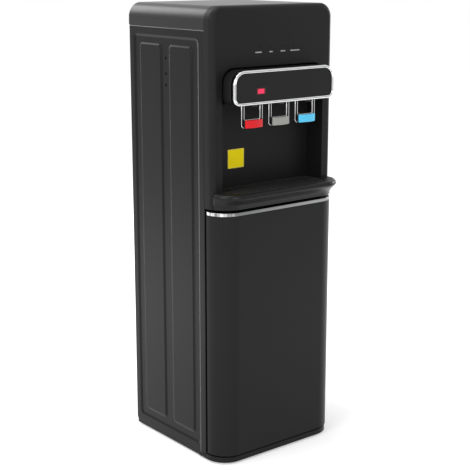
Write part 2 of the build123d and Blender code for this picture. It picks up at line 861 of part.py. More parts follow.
chin_depth = chin_back - door_y
door_half = half_width - slack
chin_half = door_half - plan_corner + math.sqrt(2 * plan_corner * chin_depth - chin_depth ** 2)
scoop = []
for step in range(scoop_steps):
    share = step / (scoop_steps - 1)
    flare = (door_y - lip_front - tray_lip_edge) * share ** 2
    half = chin_half + (tray_half_width - chin_half) * share
    z = chin_bottom + (lip_bottom - chin_bottom) * share
    scoop.append(Pos(0, 0, z) * chin_section(door_y - flare, half))
chin = loft(scoop)
lip = lie(plan_outline(tray_half_width, lip_front, chin_back, plan_corner), lip_bottom, tray_rim)
lip_edges = []
for face in (lip.faces().sort_by(Axis.Z)[0], lip.faces().sort_by(Axis.Z)[-1]):
    lip_edges += [e for e in face.edges() if e.center().Y < chin_back - 1]
lip = fillet(lip_edges, tray_lip_edge)
basin_back = alcove_y - 2 * slack
basin_bottom = liner_floor + slack
grille_top = tray_rim - grille_drop
grille_bottom = grille_top - grille_thickness
ledge_half = basin_half_width - basin_wall
ledge_front = lip_front + grille_front
ledge_back = basin_back - basin_wall
tray = chin + lip
tray += block(-basin_half_width, basin_half_width, chin_back, basin_back, basin_bottom, tray_rim)
tray -= lie(plan_outline(ledge_half, ledge_front, ledge_back, grille_corner), grille_bottom, tray_rim + over)
hollow_half = ledge_half - grille_ledge
hollow_back = ledge_back - grille_ledge
deep_front = door_y + 2 * wall
tray -= lie(
    plan_outline(hollow_half, ledge_front + grille_ledge, hollow_back, grille_corner),
    lip_bottom + basin_floor,
    tray_rim + over,
)
tray -= lie(
    plan_outline(hollow_half, deep_front, hollow_back, basin_corner),
    basin_bottom + basin_floor,
    tray_rim + over,
)
tray -= block(
    -basin_half_width - over,
    basin_half_width + over,
    chin_back,
    basin_back + over,
    grille_top,
    tray_rim + over,
)
save(tray, "drip_tray")

grille = lie(
    plan_outline(ledge_half - slack, ledge_front + slack, ledge_back - slack, grille_corner - slack),
    grille_bottom,
    grille_top,
)
slot_count = 1 + 2 * int((ledge_half - slot_margin) // slot_pitch)
slot_front = ledge_front + slot_margin
slot_back = ledge_back - slot_margin
for step in range(slot_count):
    x = (step - (slot_count - 1) / 2) * slot_pitch
    reach = max(0.0, abs(x) - (ledge_half - grille_corner)) / grille_corner
    near = slot_front + grille_corner * (1 - math.sqrt(max(0.0, 1 - reach ** 2)))
    slot = SlotOverall(slot_back - near, slot_width, rotation=90)
    grille -= lie(Pos(x, (near + slot_back) / 2) * slot, grille_bottom - over, grille_top + over)
save(grille, "drip_grille")

# Door: outer moulding, trim strip, liner, catch
door = lie(plan_outline(door_half, door_y, door_back_y, plan_corner), door_bottom, door_top)
trim_bottom = door_top - trim_height
door -= lie(
    plan_outline(door_half - wall, door_y + wall, door_back_y + over, plan_corner - wall),
    door_bottom + wall,
    trim_bottom - door_cap,
)
trim_end = door_back_y - trim_start
trim_room = plan_outline(door_half + over, door_y - over, trim_end, plan_corner + over)
trim_cut = lie(trim_room, trim_bottom, door_top + over)
trim_core = plan_outline(door_half - trim_depth, door_y + trim_depth, trim_end, plan_corner - trim_depth)
door -= trim_cut - lie(trim_core, trim_bottom - over, door_top + 2 * over)
liner_y = front_y + liner_set
door_inner_top = trim_bottom - door_cap
post_xs = (-half_width + plan_corner + post_radius, half_width - plan_corner - post_radius)
post_zs = (door_bottom + plan_corner, (door_bottom + door_inner_top) / 2, door_inner_top - plan_corner)
for x in post_xs:
    for z in post_zs:
        door += rod_y(post_radius, x, z, door_y + wall, liner_y)
for z0, z1 in (
    (door_bottom + wall, door_bottom + wall + hinge_boss_depth),
    (door_inner_top - hinge_boss_depth, door_inner_top),
):
    door += rod(hinge_boss_radius, hinge_x, hinge_y, z0, z1)
pin_low_top = plinth_top + hinge_pin_depth
pin_high_bottom = door_top - hinge_pin_depth
door -= rod(hinge_pin_radius + running_gap, hinge_x, hinge_y, door_bottom - over, pin_low_top + over)
door -= rod(hinge_pin_radius + running_gap, hinge_x, hinge_y, pin_high_bottom - over, door_top + over)
save(door, "door_panel")

trim_band = plan_band(door_half, door_y, trim_end - seam, plan_corner, trim_depth)
save(lie(trim_band, trim_bottom + seam, door_top), "door_trim")

liner_corner = plan_corner - wall
corner_y = door_y + plan_corner
liner_reach = math.sqrt(liner_corner ** 2 - (corner_y - liner_y) ** 2)
liner_half = half_width - slack - plan_corner + liner_reach - 2 * slack
door_liner = block(
    -liner_half,
    liner_half,
    liner_y,
    liner_y + liner_thickness,
    door_bottom + wall + slack,
    door_inner_top - slack,
)
save(door_liner, "door_liner")

catch_z = (door_bottom + door_top) / 2
magnet_x = -door_half + wall + slack
magnet = block(
    magnet_x,
    magnet_x + magnet_width,
    seam_y - slack - magnet_depth,
    seam_y - slack,
    catch_z - magnet_length / 2,
    catch_z + magnet_length / 2,
)
save(magnet, "door_magnet")

# Hinge pins and the upper bracket under the deck
low_pin = rod(hinge_pin_radius, hinge_x, hinge_y, pin_foot, pin_low_top)
low_pin += rod(hinge_boss_radius, hinge_x, hinge_y, plinth_top, door_bottom - slack)
save(low_pin, "lower_hinge_pin")
deck_front = alcove_y + wall + 2 * seam
bracket_bottom = deck_bottom - hinge_bracket_thickness
bracket_x0 = hinge_x - hinge_bracket_width / 2
bracket_x1 = min(hinge_x + hinge_bracket_width / 2, inner_half)
bracket_front = hinge_y - hinge_boss_radius
bracket_back = deck_front + hinge_bracket_lap
bracket = block(bracket_x0, bracket_x1, bracket_front, bracket_back, bracket_bottom, deck_bottom)
bracket -= rod(hinge_pin_radius + seat_gap, hinge_x, hinge_y, bracket_bottom - over, deck_bottom + over)
save(bracket, "upper_hinge_bracket")
save(rod(hinge_pin_radius, hinge_x, hinge_y, pin_high_bottom, deck_bottom), "upper_hinge_pin")

# Mid deck over the bottle space and the shelf under the cold tank
inner_back = rear_y - inner_gap
suction_radius = pipe_radius
deck = block(-inner_half, inner_half, deck_front, inner_back, deck_bottom, deck_top)
deck -= rod(suction_radius + slack, pump_x, pump_y, deck_bottom - over, deck_top + over)
save(deck, "mid_deck")

shelf_front = front_y + shelf_front_set
shelf = block(-inner_half, inner_half, shelf_front, inner_back, shelf_top - shelf_thickness, shelf_top)
for side in (-1, 1):
    x0, x1 = sorted((side * (inner_half - shelf_thickness), side * inner_half))
    shelf += block(x0, x1, shelf_front, inner_back, shelf_top - shelf_flange, shelf_top)
save(shelf, "tank_shelf")

# Cold tank in its foam cup, with the evaporator round it
foam_bottom = shelf_top
cold_bottom = foam_bottom + cold_foam_base
cold_top = cold_bottom + cold_height
coil_outer = cold_radius + coil_thickness
cold_stub_z = cold_top - coil_height / 2
stub_front = cold_y - cold_foam_radius - 2 * pipe_radius
cold_tank = rod(cold_radius, cold_centre_x, cold_y, cold_bottom, cold_top)
cold_tank += rod_y(pipe_radius, cold_centre_x, cold_stub_z, stub_front, cold_y)
cold_inside = cold_radius - tank_sheet
cold_tank -= rod(cold_inside, cold_centre_x, cold_y, cold_bottom + tank_sheet, cold_top - tank_sheet)
cold_tank -= rod_y(pipe_bore, cold_centre_x, cold_stub_z, stub_front - over, cold_y)
save(cold_tank, "cold_tank")
coil_bottom = cold_bottom + (cold_height - coil_height) / 4
coil_top = min(coil_bottom + coil_height, cold_stub_z - 2 * pipe_radius)
coil = rod(coil_outer, cold_centre_x, cold_y, coil_bottom, coil_top)
coil -= rod(cold_radius + slack, cold_centre_x, cold_y, coil_bottom - over, coil_top + over)
save(coil, "evaporator_coil")
foam_top = cold_top + cold_foam_base
foam = rod(cold_foam_radius, cold_centre_x, cold_y, foam_bottom, foam_top)
foam -= rod(coil_outer + slack, cold_centre_x, cold_y, cold_bottom, foam_top + over)
foam -= rod_y(pipe_radius + slack, cold_centre_x, cold_stub_z, cold_y - cold_foam_radius - over, cold_y)
save(foam, "cold_tank_insulation")
save(rod(coil_outer, cold_centre_x, cold_y, cold_top, foam_top), "cold_tank_lid")

# Hot tank in its foam jacket, with its drain stub
hot_bottom = deck_top + hot_foam
hot_top = hot_bottom + hot_height
jacket_top = hot_top + hot_foam
hot_stub_top = jacket_top + pipe_radius
drain_z = foot_height + drain_rise
drain_end = rear_face + drain_cap_length - drain_cap_end
hot_tank = rod(hot_radius, hot_centre_x, hot_y, hot_bottom, hot_top)
hot_tank += rod(pipe_radius, hot_centre_x, hot_y, hot_top - over, hot_stub_top)
hot_tank += rod_y(pipe_radius, hot_centre_x, drain_z, hot_y, drain_end)
hot_tank -= rod(hot_radius - tank_sheet, hot_centre_x, hot_y, hot_bottom + tank_sheet, hot_top - tank_sheet)
hot_tank -= rod(pipe_bore, hot_centre_x, hot_y, hot_top - 2 * tank_sheet, hot_stub_top + over)
hot_tank -= rod_y(pipe_bore, hot_centre_x, drain_z, hot_y, drain_end + over)
save(hot_tank, "hot_tank")
jacket = rod(hot_foam_radius, hot_centre_x, hot_y, deck_top, jacket_top)
jacket -= rod(hot_radius + slack, hot_centre_x, hot_y, hot_bottom, hot_top)
jacket -= rod(pipe_radius + slack, hot_centre_x, hot_y, hot_top, jacket_top + over)
jacket -= rod_y(pipe_radius + slack, hot_centre_x, drain_z, hot_y, hot_y + hot_foam_radius + over)
save(jacket, "hot_tank_insulation")
cap_bore = pipe_radius + running_gap
cap = rod_y(drain_cap_radius, hot_centre_x, drain_z, rear_face + slack, rear_face + drain_cap_length)
cap = fillet(cap.faces().sort_by(Axis.Y)[-1].edges(), drain_cap_edge)
cap -= rod_y(cap_bore, hot_centre_x, drain_z, rear_face, drain_end + slack)
save(cap, "drain_cap")

# Pump on the deck and the fitting below it
pump_bottom = deck_top + pump_base
pump_top = pump_bottom + pump_height
pump_stub_top = pump_top + 3 * pipe_radius
pump = rod(pump_radius, pump_x, pump_y, pump_bottom, pump_top)
pump = fillet(pump.faces().sort_by(Axis.Z)[-1].edges(), pump_edge)
pump += rod(pump_radius + pump_flange, pump_x, pump_y, deck_top, pump_bottom)
pump += rod(pipe_radius, pump_x, pump_y, pump_top - over, pump_stub_top)
save(pump, "water_pump")
fitting = rod(suction_radius, pump_x, pump_y, deck_bottom - fitting_drop, deck_top)
fitting += rod(2 * suction_radius, pump_x, pump_y, deck_bottom - 2 * suction_radius, deck_bottom)
fitting -= rod(pipe_bore, pump_x, pump_y, deck_bottom - fitting_drop - over, deck_top + over)
save(fitting, "suction_fitting")

# Water pipes from the spouts to the tanks and the pump
near_lane = alcove_y + wall + 2 * pipe_radius
far_lane = near_lane + 3 * pipe_radius
hot_lane_z = hot_stub_top + pipe_bend + pipe_radius
pump_lane_z = pump_stub_top + pipe_bend + pipe_radius
hot_x, room_x, cold_x = lever_centres
hot_points = [
    (hot_x, stub_end, pipe_z),
    (hot_x, near_lane, pipe_z),
    (hot_x, near_lane, hot_lane_z),
    (hot_centre_x, near_lane, hot_lane_z),
    (hot_centre_x, hot_y, hot_lane_z),
    (hot_centre_x, hot_y, hot_stub_top),
]
room_points = [
    (room_x, stub_end, pipe_z),
    (room_x, far_lane, pipe_z),
    (room_x, far_lane, pump_lane_z),
    (pump_x, far_lane, pump_lane_z),
    (pump_x, pump_y, pump_lane_z),
    (pump_x, pump_y, pump_stub_top),
]
cold_points = [
    (cold_x, stub_end, pipe_z),
    (cold_x, near_lane, pipe_z),
    (cold_x, near_lane, cold_stub_z),
    (cold_centre_x, near_lane, cold_stub_z),
    (cold_centre_x, stub_front, cold_stub_z),
]
for name, points in zip(lever_names, (hot_points, room_points, cold_points)):
    save(tube(points, pipe_bend, pipe_radius, pipe_bore), name + "_pipe")

# Compressor on rubber grommets
plate_z = deck_top + grommet_height
shell_z = plate_z + compressor_plate
line_z = foot_height + line_rise
shell = rod(compressor_radius, compressor_x, compressor_y, shell_z, shell_z + compressor_height)
shell = fillet(shell.faces().sort_by(Axis.Z)[-1].edges(), compressor_radius / 2)
shell_back = compressor_y + compressor_radius
line_start = shell_back + 2 * line_radius
compressor = shell + rod_y(line_radius, compressor_x, line_z, shell_back - 2 * line_radius, line_start)
compressor += block(
    compressor_x - compressor_foot_x - grommet_radius,
    compressor_x + compressor_foot_x + grommet_radius,
    compressor_y - compressor_foot_y - grommet_radius,
    compressor_y + compressor_foot_y + grommet_radius,
    plate_z,
    shell_z,
)
save(compressor, "compressor")
grommets = []
for dx in (-compressor_foot_x, compressor_foot_x):
    for dy in (-compressor_foot_y, compressor_foot_y):
        grommets.append(rod(grommet_radius, compressor_x + dx, compressor_y + dy, deck_top, plate_z))
save(Compound(children=grommets), "compressor_grommets")

# Condenser on the rear panel and the line that feeds it
inlet_z = condenser_top + condenser_pitch
line_points = [
    (compressor_x, line_start, line_z),
    (compressor_x, condenser_y, line_z),
    (compressor_x, condenser_y, inlet_z),
]
save(tube(line_points, line_bend, line_radius, line_bore), "discharge_line")
run_points = [(compressor_x, condenser_y, inlet_z)]
side = -1
for step in range(condenser_runs):
    z = condenser_top - step * condenser_pitch
    if step == 0:
        run_points.append((compressor_x, condenser_y, z))
    else:
        run_points.append((side * condenser_half_width, condenser_y, z))
    side = -side
    run_points.append((side * condenser_half_width, condenser_y, z))
condenser = tube(run_points, condenser_turn, condenser_tube_radius, condenser_tube_bore)
save(condenser, "condenser_tube")
wire_bottom = condenser_top - (condenser_runs - 1) * condenser_pitch - condenser_wire_overhang
wire_top = condenser_top + condenser_wire_overhang
wire_span = condenser_half_width - condenser_turn
wire_count = 2 * int(wire_span // condenser_wire_pitch) + 1
wire_offset = condenser_tube_radius + condenser_wire_radius + seat_gap
wires = []
for step in range(wire_count):
    x = (step - (wire_count - 1) / 2) * condenser_wire_pitch
    for side in (-1, 1):
        crosses_inlet = side < 0 and abs(x - compressor_x) < condenser_wire_pitch
        high = wire_top - 2 * condenser_wire_overhang if crosses_inlet else wire_top
        wires.append(rod(condenser_wire_radius, x, condenser_y + side * wire_offset, wire_bottom, high))
save(Compound(children=wires), "condenser_wires")
bracket_y = condenser_y - wire_offset - condenser_wire_radius - seat_gap
brackets = []
for x in (-wire_span + condenser_pitch / 2, wire_span - condenser_pitch / 2):
    for z in (wire_bottom + condenser_pitch, wire_top - condenser_pitch):
        brackets.append(block(
            x - condenser_bracket_width / 2,
            x + condenser_bracket_width / 2,
            rear_face,
            bracket_y,
            z - condenser_bracket_height / 2,
            z + condenser_bracket_height / 2,
        ))
save(Compound(children=brackets), "condenser_brackets")

# Rear rocker switches: housings clipped into the panel, rockers on side pins
pocket_half_x = rocker_half_width + rocker_gap
pocket_half_z = rocker_half_height + rocker_room
rocker_y = rear_face - rocker_sink
housings = []
for name, x in zip(("heat", "cool"), switch_xs):
    shell = block(
        x - body_half_x,
        x + body_half_x,
        rear_face - housing_depth,
        rear_face,
        switch_z - body_half_z,
        switch_z + body_half_z,
    )
    flange_y = rear_face + housing_flange_thickness
    shell += block(
        x - body_half_x - housing_flange,
        x + body_half_x + housing_flange,
        rear_face,
        flange_y,
        switch_z - body_half_z - housing_flange,
        switch_z + body_half_z + housing_flange,
    )
    shell -= block(
        x - pocket_half_x,
        x + pocket_half_x,
        rear_face - housing_depth + housing_wall,
        flange_y + over,
        switch_z - pocket_half_z,
        switch_z + pocket_half_z,
    )
    pin_half = pocket_half_x + housing_wall / 2
    hole_half = pin_half + slack
    shell -= rod_x(rocker_pin_radius + running_gap, rocker_y, switch_z, x - hole_half, x + hole_half)
    housings.append(shell)
    profile = make_face(Polyline(
        (-rocker_back, -rocker_back_half),
        (-rocker_back, rocker_back_half),
        (rocker_shoulder, rocker_half_height),
        (rocker_peak, rocker_half_height),
        (rocker_valley, 0.0),
        (rocker_peak, -rocker_half_height),
        (rocker_shoulder, -rocker_half_height),
        close=True,
    ))
    cap_body = extrude(Plane.YZ * profile, rocker_half_width, both=True)
    cap_body += Rot(0, 90, 0) * Cylinder(rocker_pin_radius, 2 * pin_half)
    save(Pos(x, rocker_y, switch_z) * Rot(-rocker_lean, 0, 0) * cap_body, name + "_rocker")
save(Compound(children=housings), "switch_housings")

# Cable gland: only the inlet of the supply cord
gland_z = foot_height + gland_rise
gland_start = rear_y - gland_barrel_length
gland_end = rear_face + gland_length
gland = rod_y(gland_barrel, gland_x, gland_z, gland_start, rear_face)
gland += rod_y(gland_flange, gland_x, gland_z, rear_face, rear_face + gland_flange_thickness)
gland += rod_y(gland_radius, gland_x, gland_z, rear_face, gland_end)
gland -= rod_y(gland_cable_radius, gland_x, gland_z, gland_start - over, gland_end + over)
save(gland, "cable_gland")

# Control box on the shelf
box_y = front_y + box_set
control = block(
    box_x - box_width / 2,
    box_x + box_width / 2,
    box_y - box_depth / 2,
    box_y + box_depth / 2,
    shelf_top,
    shelf_top + box_height,
)
control = fillet(control.edges().filter_by(Axis.Z), box_corner)
save(control, "control_box")
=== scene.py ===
import bpy
import bmesh
import json
import math
from mathutils import Matrix, Vector


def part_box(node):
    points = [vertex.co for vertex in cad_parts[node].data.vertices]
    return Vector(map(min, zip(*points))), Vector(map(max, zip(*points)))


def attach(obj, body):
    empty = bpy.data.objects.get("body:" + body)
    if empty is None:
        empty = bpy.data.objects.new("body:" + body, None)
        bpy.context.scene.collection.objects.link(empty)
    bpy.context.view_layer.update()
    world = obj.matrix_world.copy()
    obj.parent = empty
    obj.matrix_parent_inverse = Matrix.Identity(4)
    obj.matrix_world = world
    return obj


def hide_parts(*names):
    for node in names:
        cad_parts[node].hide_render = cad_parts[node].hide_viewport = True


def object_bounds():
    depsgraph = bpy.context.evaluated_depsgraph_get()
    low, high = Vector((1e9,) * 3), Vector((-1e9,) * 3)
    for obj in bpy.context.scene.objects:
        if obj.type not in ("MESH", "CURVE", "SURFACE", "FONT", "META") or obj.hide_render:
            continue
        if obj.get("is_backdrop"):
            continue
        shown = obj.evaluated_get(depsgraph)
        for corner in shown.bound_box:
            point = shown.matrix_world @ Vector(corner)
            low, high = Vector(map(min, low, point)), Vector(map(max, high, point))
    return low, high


# Water dispenser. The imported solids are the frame; what shows gets its finer shape and finish here.
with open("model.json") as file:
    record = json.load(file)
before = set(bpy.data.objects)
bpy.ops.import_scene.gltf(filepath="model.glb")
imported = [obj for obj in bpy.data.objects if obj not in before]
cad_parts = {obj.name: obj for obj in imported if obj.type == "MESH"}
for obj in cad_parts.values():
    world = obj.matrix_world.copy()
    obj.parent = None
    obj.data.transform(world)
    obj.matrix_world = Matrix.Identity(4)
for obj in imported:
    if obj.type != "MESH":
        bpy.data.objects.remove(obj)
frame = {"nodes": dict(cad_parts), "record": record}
cadLow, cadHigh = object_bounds()
nodes = frame["nodes"]
record = frame["record"]
scene = bpy.context.scene
mm = 0.001
frontY = -155.7 * mm  # plinth front
footZ = 4.0 * mm  # plinth underside above the floor
halfWidth = 162.5 * mm  # outside of the side panels
weldGap = 0.01 * mm  # points nearer than this become one
fineSteps = 12  # segments of a large corner
white = (1, 1, 1, 1)
bodyOf = {}
for bodyName, members in record["behaviour"]["bodies"].items():
    for member in members:
        bodyOf[member] = bodyName
slotOf = {sub["node"]: sub["material_slot"] for sub in record["subparts"]}
print("frame loaded:", len(nodes), "nodes")


# one operator of a socket, which adds its Math node
def mathsNode(operation, reflected=False):
    def apply(wire, other=0.0):
        first, second = (other, wire) if reflected else (wire, other)
        return wire.graph.node("Math", {"operation": operation}, {0: first, 1: second})

    return apply


# a socket with arithmetic: an expression on wires adds its Math nodes
class Wire:
    def __init__(self, graph, socket):
        self.graph = graph
        self.socket = socket

    __add__, __radd__ = mathsNode("ADD"), mathsNode("ADD", True)
    __sub__, __rsub__ = mathsNode("SUBTRACT"), mathsNode("SUBTRACT", True)
    __mul__, __rmul__ = mathsNode("MULTIPLY"), mathsNode("MULTIPLY", True)
    above, most, size = mathsNode("GREATER_THAN"), mathsNode("MAXIMUM"), mathsNode("ABSOLUTE")


# the nodes of one material, or of the world
class Graph:
    def __init__(self, tree):
        self.tree = tree

    def node(self, kind, settings, sockets, output=0):
        made = self.tree.nodes.new("ShaderNode" + kind)
        for key, value in settings.items():
            setattr(made, key, value)
        for key, value in sockets.items():
            if isinstance(value, Wire):
                self.tree.links.new(value.socket, made.inputs[key])
            else:
                made.inputs[key].default_value = value
        return Wire(self, made.outputs[output])

    # 1 where the camera, a mirror or glass looks, 0 for the light that falls on the object
    def looking(self):
        kinds = ("Camera", "Glossy", "Transmission")
        camera, glossy, clear = [self.node("LightPath", {}, {}, f"Is {kind} Ray") for kind in kinds]
        return camera.most(glossy).most(clear)


# one material with its shader, and the patterns that feed it
class Finish(Graph):
    def __init__(self, name, shader):
        self.material = bpy.data.materials.new(name)
        self.material.use_nodes = True
        super().__init__(self.material.node_tree)
        self.shader = self.tree.nodes["Principled BSDF"]
        for socketName, value in shader.items():
            self.shader.inputs[socketName].default_value = value
        self.where = self.node("TexCoord", {}, {}, "Object")

    def feed(self, socketName, wire):
        self.tree.links.new(wire.socket, self.shader.inputs[socketName])

    def noise(self, scale, detail=2.0, where=None):
        spot = where or self.where
        sockets = {"Vector": spot, "Scale": scale, "Detail": detail, "Roughness": 0.55}
        return self.node("TexNoise", {}, sockets)

    def stretch(self, scale):
        return self.node("Mapping", {}, {"Vector": self.where, "Scale": scale})

    def axis(self, name):
        return self.node("SeparateXYZ", {}, {"Vector": self.where}, name)

    def ramp(self, value, start, end):
        return self.node("MapRange", {}, {"Value": value, "From Min": start, "From Max": end})

    def blend(self, factor, first, second):
        settings = {"data_type": "RGBA", "blend_type": "MIX"}
        return self.node("Mix", settings, {0: factor, 6: first, 7: second}, 2)

    # a colour that drifts between a darker and a lighter tone
    def drift(self, factor, colour, spread):
        return self.blend(factor, shade(colour, 1 - spread), shade(colour, 1 + spread))

    def emboss(self, height, depth):
        sockets = {"Height": height, "Distance": depth, "Strength": 1.0}
        self.feed("Normal", self.node("Bump", {}, sockets))


def shade(colour, factor=1):
    return tuple(min(1.0, channel * factor) for channel in colour) + (1.0,)


# a moulded, painted or rubber surface: soft cloud in colour and gloss, fine grain in the normal
def grainedCoat(finish, look):
    cloud = finish.noise(look["cloudScale"], 3.0)
    grain = finish.noise(look["grainScale"])
    spread = look["glossSpread"]
    finish.feed("Roughness", cloud * spread + grain * spread + (look["roughness"] - spread))
    height = grain
    if "peelScale" in look:
        height = grain * 0.5 + finish.noise(look["peelScale"], 1.0)
    finish.emboss(height, look["grainDepth"])
    return finish.drift(cloud, look["colour"], look["spread"])


def grainedFinish(name, look):
    finish = Finish(name, look["shader"])
    finish.feed("Base Color", grainedCoat(finish, look))
    return finish.material


# drawn, rolled or plated metal: streaks along one axis in gloss and normal
def streakedGloss(finish, look):
    streak = finish.noise(look["streakScale"], 4.0, finish.stretch(look["stretch"]))
    spread = look["glossSpread"]
    finish.feed("Roughness", streak * spread + (look["roughness"] - spread / 2))
    finish.emboss(streak, look["streakDepth"])


def metalFinish(name, look):
    finish = Finish(name, look["shader"])
    cloud = finish.noise(look["cloudScale"], 3.0)
    finish.feed("Base Color", finish.drift(cloud, look["colour"], look["spread"]))
    streakedGloss(finish, look)
    return finish.material


plasticLook = {
    "colour": (0.0078, 0.0079, 0.0078), "spread": 0.12, "roughness": 0.46, "glossSpread": 0.05,
    "cloudScale": 18.0, "grainScale": 1500.0, "grainDepth": 0.00010,
    "shader": {"Specular IOR Level": 0.13},
}
coverLook = dict(
    plasticLook, colour=(0.0075, 0.0076, 0.0074), roughness=0.33, grainDepth=0.00002,
    shader={"Specular IOR Level": 0.3},
)
doorLook = dict(
    plasticLook, colour=(0.0090, 0.0091, 0.0091), roughness=0.34, grainDepth=0.00004, cloudScale=9.0,
    shader={"Specular IOR Level": 0.14},
)
linerLook = dict(plasticLook, colour=(0.05, 0.05, 0.052), roughness=0.55)
nozzleLook = dict(plasticLook, colour=(0.02, 0.02, 0.021), roughness=0.45)
# tray lip: a darker, glossier copy of the tray's black plastic; the darker tone is painted shade
shadedLipLook = dict(
    plasticLook, colour=(0.0046, 0.0047, 0.0046), roughness=0.29, shader={"Specular IOR Level": 0.19},
)
inkLook = dict(plasticLook, colour=(0.42, 0.42, 0.42), roughness=0.5, grainDepth=0.00001)
plateLook = dict(
    plasticLook, colour=(0.0085, 0.0085, 0.0083), roughness=0.25, glossSpread=0.03, grainDepth=0.00001,
    shader={"Specular IOR Level": 0.15, "Coat Weight": 0.04, "Coat Roughness": 0.12},
)
steelPaintLook = {
    "colour": (0.0052, 0.0054, 0.0053), "spread": 0.08, "roughness": 0.24, "glossSpread": 0.04,
    "cloudScale": 7.0, "grainScale": 1100.0, "peelScale": 260.0, "grainDepth": 0.00003,
    "shader": {"Specular IOR Level": 0.16},
}
rearPaintLook = dict(steelPaintLook, colour=(0.03, 0.03, 0.031))
enamelLook = dict(steelPaintLook, colour=(0.014, 0.014, 0.0145), roughness=0.35)
rubberLook = dict(
    plasticLook, colour=(0.018, 0.018, 0.018), roughness=0.75, grainScale=900.0, grainDepth=0.0002,
)
siliconeLook = dict(plasticLook, colour=(0.62, 0.62, 0.59), roughness=0.4)
foamLook = dict(
    plasticLook, colour=(0.78, 0.78, 0.75), roughness=0.9, grainScale=320.0, grainDepth=0.0006,
    spread=0.05,
)
redLook = dict(
    plasticLook, colour=(0.70, 0.006, 0.013), roughness=0.22, glossSpread=0.04, spread=0.06,
    grainDepth=0.00002, shader={"Specular IOR Level": 0.25, "Coat Weight": 0.08},
)
greyLook = dict(redLook, colour=(0.335, 0.335, 0.305))
blueLook = dict(redLook, colour=(0.10, 0.60, 0.92))
greenLook = dict(redLook, colour=(0.03, 0.30, 0.08))
lensLook = dict(plateLook, colour=(0.006, 0.006, 0.007), roughness=0.12)
chromeLook = {
    "colour": (0.66, 0.665, 0.67), "spread": 0.05, "roughness": 0.12, "glossSpread": 0.05,
    "cloudScale": 30.0, "streakScale": 60.0, "stretch": (1.0, 1.0, 3.0), "streakDepth": 0.000004,
    "shader": {"Metallic": 1.0},
}
spoutLook = dict(chromeLook, colour=(0.045, 0.045, 0.046))
steelLook = dict(
    chromeLook, colour=(0.55, 0.55, 0.54), roughness=0.3, stretch=(1.0, 1.0, 25.0), streakDepth=0.00002,
)
zincLook = dict(steelLook, colour=(0.52, 0.53, 0.54), roughness=0.42, cloudScale=45.0, spread=0.14)
copperLook = dict(steelLook, colour=(0.66, 0.33, 0.20), roughness=0.32, spread=0.12)
coats = {
    "black_plastic": ("mouldedCharcoal", plasticLook),
    "door_plastic": ("satinDoor", doorLook),
    "liner_plastic": ("innerMoulding", linerLook),
    "gloss_black": ("headPlateGloss", plateLook),
    "side_steel": ("powderCoat", steelPaintLook),
    "rear_steel": ("powderCoatRear", rearPaintLook),
    "rubber": ("mouldedRubber", rubberLook),
    "red_plastic": ("redPaddle", redLook),
    "grey_plastic": ("greyPaddle", greyLook),
    "blue_plastic": ("bluePaddle", blueLook),
    "green_plastic": ("greenRocker", greenLook),
    "lens": ("smokedLens", lensLook),
    "nozzle_plastic": ("plainMoulding", nozzleLook),
    "foam": ("expandedFoam", foamLook),
    "silicone": ("siliconeHose", siliconeLook),
    "compressor_paint": ("compressorEnamel", enamelLook),
    "condenser_paint": ("condenserEnamel", dict(enamelLook, roughness=0.42)),
}
metals = {
    "chrome": ("brightPlating", chromeLook), "steel": ("plainSteel", steelLook),
    "zinc": ("galvanisedSheet", zincLook), "copper": ("drawnCopper", copperLook),
}
finishes = {slotName: grainedFinish(*coat) for slotName, coat in coats.items()}
finishes.update({slotName: metalFinish(*metal) for slotName, metal in metals.items()})
shadedLipFinish = grainedFinish("trayLipSatin", shadedLipLook)
spoutFinish = metalFinish("darkPlating", spoutLook)


# rubber that stays near black in full light: black rubber for the plugs, and painted shade of the gaps
# for the strips under and beside the door
def blackRubberAndGapShade(name, look):
    shader = {"Specular IOR Level": look["gloss"]}
    return grainedFinish(name, dict(rubberLook, colour=(look["tone"],) * 3, shader=shader))


# grille: satin bars, and painted shade that turns the slots near black below the top face
grilleLook = {
    "bar": (0.042, 0.042, 0.042), "spread": 0.15, "slot": (0.0012, 0.0012, 0.0012), "skin": 0.45,
    "cloudScale": 60.0, "roughness": 0.38, "glossSpread": 0.08, "slotDull": 0.4,
    "grainScale": 1500.0, "grainDepth": 0.00006, "shader": {"Specular IOR Level": 0.02},
}


def slottedFinish():
    s = grilleLook
    finish = Finish("grilleSatin", s["shader"])
    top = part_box("drip_grille")[1].z
    skin = finish.axis("Z").above(top - s["skin"] * mm)
    cloud = finish.noise(s["cloudScale"])
    bars = finish.drift(cloud, s["bar"], s["spread"])
    # painted shade: below the top skin the colour drops to near black for the shade inside the slots;
    # the bars are paler than the black plastic, partly as painted highlight
    finish.feed("Base Color", finish.blend(skin, shade(s["slot"]), bars))
    finish.feed("Roughness", cloud * s["glossSpread"] + s["roughness"] + (1 - skin) * s["slotDull"])
    finish.emboss(finish.noise(s["grainScale"]), s["grainDepth"])
    return finish.material


# side panels: powder coat with a painted highlight along the top edge and along the crease behind the
# front edge
highlightLineLook = {
    "at": 71.8, "half": 1.2, "until": 886.0, "top": 911.6, "topHalf": 1.1, "core": 0.5,
    "pale": (0.145, 0.145, 0.145),
}


def highlightLineFinish():
    s = highlightLineLook
    finish = Finish("powderCoatSide", steelPaintLook["shader"])
    paint = grainedCoat(finish, steelPaintLook)

    def line(axis, at, half):
        away = (finish.axis(axis) - at).size()
        return finish.ramp(away, half * mm, half * mm * s["core"])

    below = 1 - finish.axis("Z").above(footZ + s["until"] * mm)
    crease = line("Y", frontY + s["at"] * mm, s["half"]) * below
    cap = line("Z", footZ + s["top"] * mm, s["topHalf"])
    # painted highlight: the paint turns pale in narrow lines along the crease and along the top edge,
    # standing in for glints there
    finish.feed("Base Color", finish.blend(crease.most(cap), paint, shade(s["pale"])))
    return finish.material


